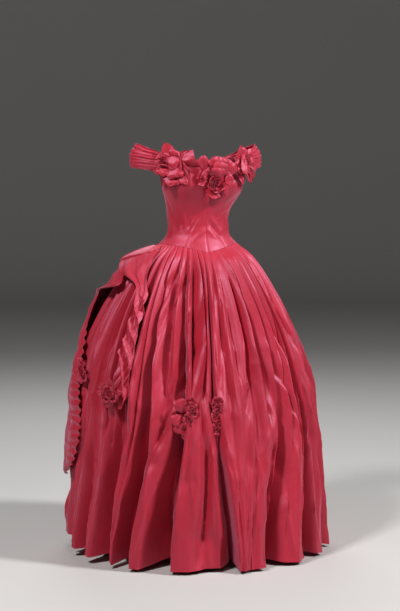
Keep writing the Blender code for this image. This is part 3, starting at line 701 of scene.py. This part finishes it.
def seam_bearing(seam, down):
    bearing = float(seam[2]) + 0 * down
    for _ in range(3):
        height = neckline(bearing) * (1 - down) + waist_seam(bearing) * down
        bearing = read(((-0.093, seam[3]), (0, seam[2]), (0.23, seam[1])), 1, height)
    return bearing


print("panels:", PANELS)

# %% Ridges and dips of the tight cloth
CREASES = (
    # from bearing and height, to bearing and height, half width, height of the ridge or depth of the dip
    (58, 64, 50, -12, 3.5, 2.2), (52, 60, 46, -16, 3.0, -1.8), (45, 66, 38, -10, 3.0, 2.0),
    (40, 60, 34, 20, 2.6, -1.5), (18, 26, 36, -30, 3.4, 2.2), (6, 40, 30, -38, 4.5, 1.8),
    (12, 30, 30, -22, 3.0, -1.8), (-11, 26, -36, -36, 4.0, 2.2), (-5, 18, -26, -40, 3.2, -1.8),
    (-4, 48, -26, 74, 3.4, 1.8), (-8, 56, -28, 84, 2.8, -1.4), (-25, 36, -52, 58, 3.4, 2.0),
    (-22, 28, -48, 48, 2.8, -1.5), (-44, 28, -62, -28, 3.4, 2.2), (-52, 40, -70, -20, 3.0, -1.8),
    (-60, 30, -76, -24, 3.0, 1.8), (80, 110, 62, -12, 4.0, -1.5), (76, 24, 70, -20, 3.0, 1.8),
    (48, 138, 38, 66, 5.0, 1.8), (14, 110, 20, 50, 7.0, -1.4), (-46, 120, -30, 70, 5.0, 1.6),
    (-58, 110, -40, 62, 4.0, -1.4), (2, -10, 24, -58, 5.0, 1.4), (-2, -10, -26, -60, 5.0, 1.4),
    (100, 60, 112, -10, 4.0, 1.8), (112, 90, 124, 10, 3.6, -1.6), (128, 70, 142, -8, 3.6, 1.8),
    (160, 60, 146, -14, 4.0, 1.6), (172, 40, 152, -30, 3.6, -1.6), (-100, 64, -114, -6, 4.0, 1.8),
    (-110, 30, -128, -26, 3.6, -1.6), (-126, 80, -142, 4, 3.6, 1.8), (-162, 56, -146, -12, 4.0, 1.6),
    (-174, 36, -154, -30, 3.6, -1.6), (90, 40, 96, -30, 3.2, 1.6), (-88, 40, -94, -30, 3.2, 1.6),
)


def drag_lines(bearing, height):
    """The creases of the table, with faint crosswise ones where the waist is tightest."""
    round_way = np.radians(bearing) * 105 * MM
    stands = 1.2 * MM * creases(bearing / 30, height / 0.02 + bearing / 60, 22) ** 4
    stands = stands * np.exp(-((height + 0.005) / 0.05) ** 2)
    stands = stands + 1.1 * MM * wander(bearing / 14, height / 0.045, 23)
    for b0, h0, b1, h1, half_width, rise in CREASES:
        start = np.array((math.radians(b0) * 105, h0)) * MM
        step = np.array((math.radians(b1) * 105, h1)) * MM - start
        along = ((round_way - start[0]) * step[0] + (height - start[1]) * step[1]) / (step @ step)
        held = np.clip(along, 0, 1)
        away = np.hypot(round_way - start[0] - step[0] * held, height - start[1] - step[1] * held)
        slope = np.exp(-((away / half_width / 1.6 / MM) ** 1.6))
        stands = stands + 1.9 * rise * MM * slope * (0.25 + 0.75 * np.sin(math.pi * held))
    return stands


print("drag lines:", len(CREASES))

# %% Make the eight panels
rows, across = np.linspace(0, 1, PANEL_ROWS + 1), np.linspace(0, 1, PANEL_COLUMNS + 1)
for number, panel in enumerate(PANELS):
    start, end = seam_bearing(SEAMS[number], rows), seam_bearing(SEAMS[number + 1], rows)
    bearing = start[:, None] + (end - start)[:, None] * across[None, :]
    height = neckline(bearing) * (1 - rows[:, None]) + waist_seam(bearing) * rows[:, None]
    seam_side = np.minimum(across, 1 - across)[None, :] * (end - start)[:, None] / 4
    for side, sign in (("right", 1), ("left", -1)):
        grid = body_point(bearing * sign, height)
        pucker = 0.25 * MM * np.sin(height / 0.0035 + number) * np.exp(-seam_side * 1.2)
        dip = 1.1 * MM * np.exp(-((seam_side / 0.35) ** 2))
        stands = drag_lines(bearing * sign, height) + pucker - dip
        grid += outward(grid) * stands[..., None]
        sew(f"bodice_{panel}_{side}", [grid], sheet_size(grid), "stretched", [])

# %% [markdown]
# ## Neck band and sleeves
# A narrow folded band finishes the top edge. The sleeves are bands cut on the cross and laid in soft
# lengthwise pleats, which run round the arm from the front of the bodice to the back.

# %% Neck band
NECK_REACH = (-0.01, 0.0675)  # shares of the way from the neckline to the waist seam
NECK_ROWS, NECK_COLUMNS = 12, 161
NECK_BANDS = (("neck_band_front", -58, 58), ("neck_band_back", 111, 249))
for name, first, last in NECK_BANDS:
    bearing = np.linspace(first, last, NECK_COLUMNS)[None, :]
    down = np.linspace(*NECK_REACH, NECK_ROWS)[:, None]
    share = np.linspace(0, 1, NECK_ROWS)[:, None]
    roll = 1.4 + 3.0 * np.sin(math.pi * share) ** 0.7
    roll = roll + 0.8 * np.abs(np.sin(9 * share + wander(bearing / 9, share, 31)))
    grid = body_point(bearing, neckline(bearing) * (1 - down) + waist_seam(bearing) * down)
    grid += outward(grid) * (roll * MM)[..., None]
    sew(name, [grid], sheet_size(grid), "folded", ["bodice"], None)

# %% Sleeve bands
SLEEVE = (
    # share from the front end, right, behind, lower edge, upper edge, swell, lean
    (0.00, 116, -74, 180, 232, 1, 0), (0.16, 158, -62, 192, 250, 4, 8), (0.34, 208, -40, 197, 270, 9, 16),
    (0.50, 241, 6, 199, 284, 13, 22), (0.66, 210, 56, 197, 272, 9, 16), (0.84, 156, 78, 190, 250, 4, 8),
    (1.00, 112, 72, 180, 226, 1, 0),
)
SLEEVE_ENDS, SLEEVE_JOIN, SLEEVE_STANDS, SLEEVE_PLEATS = (52, 127), 0.14, 4.8 * MM, 6
SLEEVE_CUT = (0.40, 0.16)
DRAWN_IN = {"right": 0.01, "left": 0.05}  # the loops lie this much closer to the body than the solids


def sleeve_point(share, up):
    right, behind, lower, upper, swell, tilt = (read(SLEEVE, c, share) * MM for c in range(1, 7))
    ahead, back = np.clip(share + 0.02, 0, 1), np.clip(share - 0.02, 0, 1)
    along_x = -(read(SLEEVE, 1, ahead) - read(SLEEVE, 1, back))
    along_y = read(SLEEVE, 2, ahead) - read(SLEEVE, 2, back)
    size = np.hypot(along_x, along_y)
    drift = up + 0.07 * wander(share * 3.2, up * 2.2, 41) + 0.02 * wander(share * 9, up * 5, 43)
    pleat = 4 * rounds(SLEEVE_PLEATS * drift) ** 0.8 * (0.5 + scatter(np.floor(SLEEVE_PLEATS * drift), 44))
    finer = 0.9 * rounds(SLEEVE_PLEATS * 1.7 * drift + 0.8 * wander(share * 4, up * 3, 45))
    small = creases(share * 3, up * 6 + share * 2, 42) ** 4 * 2.2
    stands = swell * np.sin(math.pi * up) - tilt * up + (pleat + finer + small) * MM
    height = lower + (upper - lower) * up
    point = np.stack([-right - along_y / size * stands, behind + along_x / size * stands, height], axis=-1)
    bearing = np.where(share < 0.5, SLEEVE_ENDS[0], SLEEVE_ENDS[1]) + 0 * up
    sewn = body_point(bearing, height)
    sewn = sewn + outward(sewn) * SLEEVE_STANDS
    blend = ease(np.minimum(share, 1 - share) / SLEEVE_JOIN)[..., None]
    return sewn * (1 - blend) + point * blend


share, up = np.meshgrid(np.linspace(0, 1, 121), np.linspace(0, 1, 61))
for side, sign in (("right", 1), ("left", -1)):
    grid = sleeve_point(share, up) * np.array((sign, 1, 1))
    grid[..., 0] *= 1 - DRAWN_IN[side] * ease(np.minimum(share, 1 - share) / 0.3)
    sew(f"sleeve_{side}", [grid], SLEEVE_CUT, "gathered", ["bodice"], inside=(0, 0.01, 0.24))

# %% [markdown]
# ## The hip drape
# At the wearer's right hip a wide flap starts at the waist, is turned back on itself and narrows to a
# ruched tail. Behind it a full panel stands off the skirt like a pannier and leaves a dark hollow
# under its front edge. A plane pinned to the skirt and simulated would slip, so each one is a table of
# where its two edges lie and how far they stand off, with gathers, pulls and crimped facets added.

# %% Drape tables and surface
DRAPE_FRONT = (
    # drop below the waist, from bearing, to bearing, stands at each side
    (69, 66, 98, 6, 7), (90, 62, 103, 14, 32), (115, 60, 106, 15, 47), (150, 58, 88, 16, 46),
    (190, 55, 65, 16, 30), (230, 51, 58, 16, 24), (270, 50, 57, 16, 22), (320, 50, 57, 16, 22),
    (370, 50, 57, 16, 22), (430, 49.5, 57.5, 16, 22), (490, 49.5, 58, 16, 22), (560, 50, 58, 16, 20),
    (605, 53, 58, 16, 18),
)
DRAPE_BACK = (
    (69, 102, 166, 7, 6), (85, 106, 166, 12, 11), (105, 97, 167, 17, 15), (135, 88, 167, 25, 18),
    (170, 81, 167, 29, 19), (204, 78, 166, 35, 19), (222, 98, 166, 52, 19), (245, 107, 166, 47, 19),
    (290, 109, 165, 42, 19), (340, 107, 164, 34, 19), (385, 98, 163, 25, 19), (440, 92, 163, 23, 19),
    (510, 87, 162, 25, 19), (580, 83, 161, 27, 19), (660, 82, 160, 21, 19), (740, 82, 158, 25, 19),
    (790, 85, 152, 25, 19), (835, 92, 140, 23, 19), (880, 104, 122, 21, 19),
)


def drape_point(table, across, fall, ripple):
    """Points of a drape from its table, at a share across it and millimetres below the waist."""
    first, last, near, far = (read(table, c, fall) for c in (1, 2, 3, 4))
    stands = (near + (far - near) * ease(across) + ripple) * MM
    bearing = first + (last - first) * across
    return skirt_outline(bearing, np.maximum(0, fall * MM + waist_seam(bearing)), stands)


print("drape levels:", len(DRAPE_FRONT), "in front,", len(DRAPE_BACK), "behind")

# %% The flap and its tail
FRONT_CUT, BACK_CUT = (0.34, 0.72), (0.62, 0.90)
across, fall = np.meshgrid(np.linspace(0, 1, 91), np.linspace(69, 605, 241))
down = fall * MM
low = ease((fall - 205) / 60)  # 0 on the flap, 1 on the tail
turned = 8 * ease((82 + 40 * across - fall) / 5 + 0.5)
gathered = 5 * rounds(7 * across + 0.4 * wander(across * 5, down * 20, 54))
gathered *= (1 - ease((fall - 75) / 90)) * (1 - ease((across - 0.35) / 0.3))
pulls = 2.6 * np.sin(across * 16 - fall / 16) * ease((fall - 100) / 30) * (1 - low)
phase = fall / 70 + 0.4 * wander(across * 1.2, down * 9, 52) + 1.9 * across  # one to each facet of the tail
facet, inside = np.floor(phase), phase - np.floor(phase)
crimp = np.abs(2 * inside - 1) * (10 + 10 * scatter(facet, 62)) - 8
crimp += (across - 0.5) * (scatter(facet, 63) - 0.5) * 22 * np.sin(math.pi * inside)
crimp += creases(across * 1.4, down * 16 - across * 3, 55) ** 4 * 5 + 1.2 * wander(across * 3, down * 30, 56)
lifted = 5 * np.abs(2 * across - 1) ** 3 * (0.5 + 0.5 * np.sin(fall / 13))
flap = drape_point(DRAPE_FRONT, across, fall, (crimp + lifted) * low + turned + gathered + pulls)
print("flap and tail:", flap.shape[:2], "points")

# %% The band turned back at the flap's edge
turns, along = np.linspace(0, 1.35, 34)[None, :], np.linspace(0, 1, 40)[:, None]
edge = drape_point(DRAPE_FRONT, np.ones_like(along), 72 + 52 * along, 8 * (1 - along) ** 0.5)
radius = ((9 - 5 * turns) * (0.45 + 0.55 * np.sin(math.pi * (0.15 + 0.6 * along))) * MM)[..., None]
out_way, down_way = outward(edge), edge[-1:] - edge[:1]
side_way = np.cross(down_way / np.linalg.norm(down_way), out_way)
turn = (turns * math.tau)[..., None]
band = edge + out_way * np.sin(turn) * radius + side_way * (np.cos(turn) - 1) * radius
sew("drape_front", [flap, band], FRONT_CUT, "draped", ["cloth_skirt_side_right"])

# %% The back drape
across, fall = np.meshgrid(np.linspace(0, 1, 181), np.linspace(69, 880, 221))
down = fall * MM
drift = across + 0.02 * np.sin(down * 9) + 0.03 * wander(across * 3, down * 5, 57)
folds = rounds(6 * drift) ** 0.9 * (6 + 9 * scatter(np.floor(6 * drift), 58))
finer = rounds(19 * drift + wander(across * 4, down * 3, 59))
folds += 3 * finer * (1 - ease((fall - 300) / 300))
folds += creases(across * 5 + down * 4, down * 9, 53) ** 4 * 6 + 2.5 * wander(across * 9, down * 14, 60)
ruched = 4.2 * np.sin(fall / 4.4 + 1.5 * wander(across * 20, down * 30, 61))
ruched *= np.exp(-across / 0.07) * ease((fall - 330) / 60)  # only along the front edge, low down
folds = folds * (1 - np.exp(-across / 0.05)) + ruched
back = drape_point(DRAPE_BACK, across, fall, folds * ease((fall - 69) / 70))
sew("drape_back", [back], BACK_CUT, "draped", ["cloth_skirt_side_right"])

# %% [markdown]
# ## The roses
# A cloth rose is a rolled heart with petals sewn round it. Each petal is a shaped piece, some with a
# turned edge and some cut to a point, and folded leaves stick out from underneath. They could be drawn
# as curves and filled, but a petal is easier to place when it is told where its root and its tip are.
# Sizes are millimetres in the rose's own frame: across, up, and out towards the viewer.

# %% Petal outlines, and a rose's own directions
OUTLINES = {
    # share of the length, share of the full width
    "round": ((0, 0.30), (0.25, 0.72), (0.55, 1.0), (0.8, 0.94), (0.93, 0.70), (1, 0.40)),
    "point": ((0, 0.50), (0.3, 0.94), (0.5, 0.98), (0.75, 0.60), (0.93, 0.19), (1, 0.03)),
    "blunt": ((0, 0.60), (0.3, 0.88), (0.6, 1.0), (0.85, 0.98), (1, 0.86)),
    "leaf": ((0, 0.25), (0.25, 0.8), (0.5, 1.0), (0.75, 0.72), (0.93, 0.28), (1, 0.04)),
}


def rose_axes(bearing, height, out, faces, nod):
    place, turn, tip = math.radians(bearing), math.radians(faces), math.radians(nod)
    level = Vector((-math.sin(turn), -math.cos(turn), 0))
    facing = level * math.cos(tip) + Vector((0, 0, math.sin(tip)))
    sideways = Vector((0, 0, 1)).cross(level).normalized()
    hub = Vector((-math.sin(place) * out, -math.cos(place) * out, height)) * MM
    return tuple(np.array(v) for v in (hub, facing, sideways, facing.cross(sideways)))


print("petal outlines:", list(OUTLINES))

# %% One petal
PETAL_ROWS, PETAL_COLUMNS = 19, 17


def petal_grid(axes, root, tip, width, bulge, cup, curl, outline, ruffle=0, twist=0, salt=0.0):
    """One petal from its root to its tip. It bulges towards the viewer half way, its sides bend back
    by the angle cup, its tip rolls back by curl, and its edge is ruffled."""
    hub, facing, sideways, upward = axes
    root, tip = (sideways * p[0] + upward * p[1] + facing * p[2] for p in (root, tip))
    length = np.linalg.norm(tip - root)
    along = (tip - root) / length
    normal = facing - along * np.dot(facing, along)
    if np.linalg.norm(normal) < 0.2:
        normal = upward - along * np.dot(upward, along)
    normal /= np.linalg.norm(normal)
    side = np.cross(along, normal)
    spin = math.radians(twist)
    turned = normal * math.cos(spin) + side * math.sin(spin)
    normal, side = turned, side * math.cos(spin) - normal * math.sin(spin)
    a, b = np.meshgrid(np.linspace(0, 1, PETAL_ROWS), np.linspace(-1, 1, PETAL_COLUMNS), indexing="ij")
    half = width / 2 * read(OUTLINES[outline], 1, a)
    bend = max(0.05, 0.5 * cup) if cup >= 0 else cup
    rise = 0.5 * bulge * np.sin(math.pi * a ** 0.8) - 0.6 * curl * np.clip((a - 0.68) / 0.32, 0, 1) ** 2
    rise += half * (np.cos(b * bend) - 1) / bend
    rise += ruffle * np.abs(b) ** 2.5 * np.sin(a * 15 + np.sign(b) * 1.3 + salt * 7)
    rise += ruffle * np.clip((a - 0.7) / 0.3, 0, 1) * np.sin(b * 9 + salt * 5)
    rise += 1.1 * wander(b * 1.6 + salt * 3, a * 2.4, salt) * (0.3 + a)
    rise += 3 * (creases(b * 0.9 + salt, a * 1.3 + b * 0.4, salt + 2) ** 5 - 0.2)
    wide = half * np.sin(b * bend) / bend
    reach = length * a - 0.18 * curl * np.clip((a - 0.62) / 0.38, 0, 1) ** 3
    petal = root + along * reach[..., None] + side * wide[..., None] + normal * rise[..., None]
    return hub + petal * MM


print("a petal has", PETAL_ROWS, "x", PETAL_COLUMNS, "points")

# %% The rolled heart, and petals in a ring


def heart_grid(axes, centre, radius, turns, tall, start=0.0):
    """The rolled heart: one strip wound round itself, its free edge flaring out a little."""
    hub, facing, sideways, upward = axes
    middle = sideways * centre[0] + upward * centre[1] + facing * centre[2]
    angle = np.linspace(0, turns, int(turns * 26))
    grid = []
    for level in np.linspace(0, 1, 8):
        wide = (1 + radius * angle / turns) * (0.70 + 0.36 * level ** 2)
        wide *= 1 + 0.09 * np.sin(angle * 17 + start * 9) * level
        high = tall * level * (1 - 0.30 * angle / turns) * (1 + 0.10 * np.sin(angle * 11 + start * 5))
        turn = (angle + start) * math.tau
        ray = sideways * np.cos(turn)[:, None] + upward * np.sin(turn)[:, None]
        grid.append(hub + (middle + ray * wide[:, None] + facing * high[:, None]) * MM)
    return np.array(grid)


def ring_petals(centre, count, near, far, low, high, width, cup, curl, first=0):
    """Petals all round a heart, each a little different, as rows like those of the tables below."""
    made = []
    for n in range(count):
        turn = math.radians(first + 360 * n / count + 14 * (scatter(n, first) - 0.5))
        reach = far * (0.88 + 0.24 * scatter(n, first + 1))
        root = (centre[0] + near * math.cos(turn), centre[1] + near * math.sin(turn), low)
        tip = (centre[0] + reach * math.cos(turn), centre[1] + reach * math.sin(turn), high)
        made.append((root, tip, width * (0.9 + 0.25 * scatter(n, first + 2)), 3, cup, curl, "round", 1.2))
    return made


print("petals in a ring of four:", len(ring_petals((0, 0), 4, 5, 20, 0, 10, 24, 0.6, 5)))

# %% The three roses of the neckline
ROSE_PLACES = {
    # bearing, height, out, faces, nod
    "rose_neck_right": (62.24, 204, 161.8, 22, 6),
    "rose_neck_centre": (-7, 156.1, 117.2, 0, -6),
    "rose_neck_left": (-60.6, 195.8, 174.0, -24, 4),
    "rose_skirt_hip": (83, -489.8, 434.6, 62, -10),
    "rose_skirt_side": (61.02, -553.2, 433.0, 45, -8),
    "rose_skirt_front": (24, -621, 369.3, 20, 0),
    "rose_skirt_centre": (8, -615, 354.7, 10, 0),
}
HEARTS = {
    # centre, radius, turns, height, start
    "rose_neck_right": (((-6, 15, 6), 9, 2.2, 24, 0.1),),
    "rose_neck_centre": (((8, -13, 4), 21, 3.4, 25, 0.3),),
    "rose_neck_left": (((-16, 16, 8), 9, 2.0, 20, 0.6),),
}
PETALS = {}
# root, tip, width, bulge, cup, curl, outline, and for some ruffle and twist
PETALS["rose_neck_right"] = (
    ((16, 34, 6), (-1, 80, 14), 44, 5, 0.5, 0, "point", 0, 10),
    ((20, 30, 4), (34, 56, 10), 46, 5, 0.8, 9, "blunt"),
    ((2, 20, 10), (46, 0, 25), 48, 7, 0.9, 12, "round", 1),
    ((48, 40, 6), (52, -14, 16), 22, 3, 1.3, 0, "blunt", 0, 55),
    ((48, 24, 4), (100, 40, 12), 36, 4, 0.5, 0, "blunt", 0, -12),
    ((50, 30, 2), (84, 52, 8), 24, 3, 0.4, 0, "point"),
    ((30, -2, 8), (40, -42, 22), 58, 6, 0.5, 8, "blunt", 2.6),
    ((58, 16, 6), (82, -46, 12), 22, 3, 1.2, 0, "leaf", 0, 40),
    ((50, -34, 5), (80, -64, 14), 34, 3, 0.5, 0, "point"),
    ((26, -28, 3), (14, -74, 16), 52, 5, 0.6, 4, "point", 1),
    ((34, -26, 2), (40, -68, 10), 34, 4, 0.6, 6, "round", 1),
    ((-16, -6, 6), (-22, -32, 17), 34, 5, 0.9, 6, "round", 1.6),
    ((-4, -4, 7), (2, -36, 19), 34, 5, 0.9, 7, "round", 1.6),
    ((-16, 8, 8), (-34, 0, 14), 40, 5, 1.0, 8, "round", 1.2),
    ((-14, 22, 7), (-28, 34, 13), 36, 5, 1.0, 8, "round", 1.2),
    ((-4, 28, 6), (4, 46, 12), 36, 4, 0.9, 6, "round", 1.2),
    *ring_petals((-6, 15), 5, 4, 17, 8, 22, 24, -0.9, 3, 20),
)
PETALS["rose_neck_centre"] = (
    ((14, 8, 2), (20, 82, 12), 66, 9, 0.7, 14, "round", 1.2),
    ((16, 4, 4), (30, 62, 20), 62, 8, 0.8, 12, "round", 1.0, 6),
    ((10, 0, 6), (14, 42, 27), 58, 7, 0.8, 10, "round", 1.0),
    ((34, 14, 0), (74, 62, 6), 60, 6, 0.6, 10, "round", 1.2),
    ((40, -4, 0), (70, 18, 8), 44, 6, 0.8, 10, "round", 1.0),
    ((-28, 30, 2), (-40, 84, 10), 34, 5, 0.9, 8, "round", 0.6),
    ((-12, 44, 4), (-50, 6, 14), 17, 3, 1.3, 0, "leaf", 0, 30),
    ((-40, 40, 1), (-58, 4, 8), 15, 2, 1.0, 0, "leaf", 0, -20),
    ((-20, -8, 5), (-58, -14, 16), 32, 3, 0.9, 0, "point"),
    ((-16, 12, 3), (-34, 26, 18), 40, 4, -0.7, 4, "round", 1.4),
    ((6, -30, 4), (-2, -64, 18), 62, 5, 0.6, 2, "point", 0.8),
    ((22, -22, 4), (54, -34, 22), 50, 6, 0.7, 10, "round", 1.2),
    ((34, -8, 5), (62, -4, 22), 42, 6, 0.8, 10, "round", 1.2),
    ((24, -34, 1), (30, -62, 10), 54, 4, 0.5, 6, "round", 1.4),
    ((-16, -38, 1), (-18, -76, 9), 20, 3, 1.1, 0, "leaf", 0, 20),
    *ring_petals((8, -13), 5, 16, 31, 3, 21, 34, -0.8, 6, 60),
)
PETALS["rose_neck_left"] = (
    ((-42, 14, 2), (-36, 80, 12), 36, 6, 1.0, 0, "point", 0, 12),
    ((-22, 48, 8), (-34, -22, 30), 36, 8, 0.9, 4, "round", 1.0),
    ((-24, 34, 2), (-4, 66, 10), 40, 5, 0.8, 6, "blunt"),
    ((-14, 40, 4), (30, 58, 10), 34, 5, 0.9, 14, "blunt"),
    ((-12, 20, 0), (42, 14, 6), 74, 10, 0.7, 12, "round", 1.0),
    ((0, 10, 10), (24, -14, 18), 52, 7, 0.8, 10, "round", 1.2, 20),
    ((-14, 0, 14), (0, -54, 18), 18, 3, 1.3, 0, "leaf", 0, 40),
    ((-22, -4, 12), (-12, -48, 22), 20, 3, 1.2, 0, "leaf", 0, -30),
    ((-6, 4, 8), (12, -44, 12), 20, 3, 1.2, 0, "leaf", 0, 30),
    ((-34, 0, 4), (-34, -58, 12), 30, 3, 0.9, 0, "point", 0, 10),
    ((10, 4, 4), (16, -36, 4), 30, 4, 0.9, 6, "round", 0.8, 30),
    ((-40, 10, 3), (-58, 24, 8), 36, 5, 0.8, 6, "round", 1.0),
    ((-34, 6, 6), (-50, -18, 14), 32, 5, 0.8, 6, "round", 1.2),
    ((-16, 28, 8), (4, 38, 22), 34, 5, -0.7, 5, "round", 1.0),
    *ring_petals((-16, 16), 5, 5, 19, 8, 22, 26, -0.8, 4, 40),
)
print("petals:", {name: len(rows) for name, rows in PETALS.items()})

# %% The four roses of the skirt
SKIRT_HEARTS = {
    "rose_skirt_front": ((14, 44, 2), (20, 16, 4), (10, -10, 4), (0, -42, 3), (14, -28, 2)),
    "rose_skirt_centre": ((2, 36, 0), (6, 14, 2), (0, -6, 2), (6, -28, 1), (2, -50, 0)),
    "rose_skirt_side": ((2, 10, 6), (16, -4, 4), (-10, -6, 4)),
    "rose_skirt_hip": ((4, 4, 4), (10, -16, 2)),
}
for name, places in SKIRT_HEARTS.items():
    HEARTS[name] = tuple((place, 9 + 4 * scatter(n, 3), 2.0, 17, n * 0.3) for n, place in enumerate(places))
    small = []
    for n, place in enumerate(places):
        small += ring_petals(place, 5, 7, 20, place[2], place[2] + 12, 24, 0.6, 5, 30 + 41 * n)
    PETALS[name] = small
PETALS["rose_skirt_front"] += [
    ((-8, 12, 2), (-26, 56, 10), 48, 8, 0.7, 6, "round", 0.6),
    ((-12, 0, 2), (-46, -26, 12), 46, 7, 0.7, 8, "round", 1.0),
    ((-16, -24, 1), (-34, -56, 8), 34, 5, 0.7, 6, "round", 1.2),
    ((-2, -52, 2), (-6, -84, 8), 26, 4, 0.8, 0, "point"),
]
PETALS["rose_skirt_side"] += [
    ((-16, 0, 2), (-44, 4, 8), 24, 3, 1.0, 0, "leaf", 0, 20),
    ((-4, -16, 2), (-8, -48, 8), 24, 3, 1.0, 0, "leaf"),
    ((20, 0, 2), (50, 10, 6), 24, 3, 1.0, 0, "leaf", 0, -20),
    ((4, 22, 2), (8, 56, 8), 24, 3, 1.0, 0, "leaf"),
    ((-10, 14, 2), (-30, 34, 8), 30, 4, 0.7, 5, "round", 1.2),
]
PETALS["rose_skirt_hip"] += [
    ((-6, -14, 0), (-26, -44, 6), 34, 4, 0.7, 4, "blunt", 0.8),
    ((-4, 12, 0), (-12, 42, 4), 26, 4, 0.8, 4, "round", 1.0),
    ((10, 12, 0), (22, 34, 4), 22, 3, 0.9, 0, "leaf"),
]
PETAL_SHELL, CUT_OVER_SHAPE = 0.7 * MM, 1.05
for name, place in ROSE_PLACES.items():
    axes = rose_axes(*place)
    grids = [heart_grid(axes, *heart) for heart in HEARTS[name]]
    grids += [petal_grid(axes, *row, salt=n * 0.618 + 0.2) for n, row in enumerate(PETALS[name])]
    hub, facing = axes[:2]
    side = round(math.sqrt(sum(sheet_area(g) for g in grids)) * CUT_OVER_SHAPE, 3)
    behind = hub - facing * 0.05
    sew(name, grids, (side, side), "folded", ["bodice"], shell=PETAL_SHELL, inside=behind)
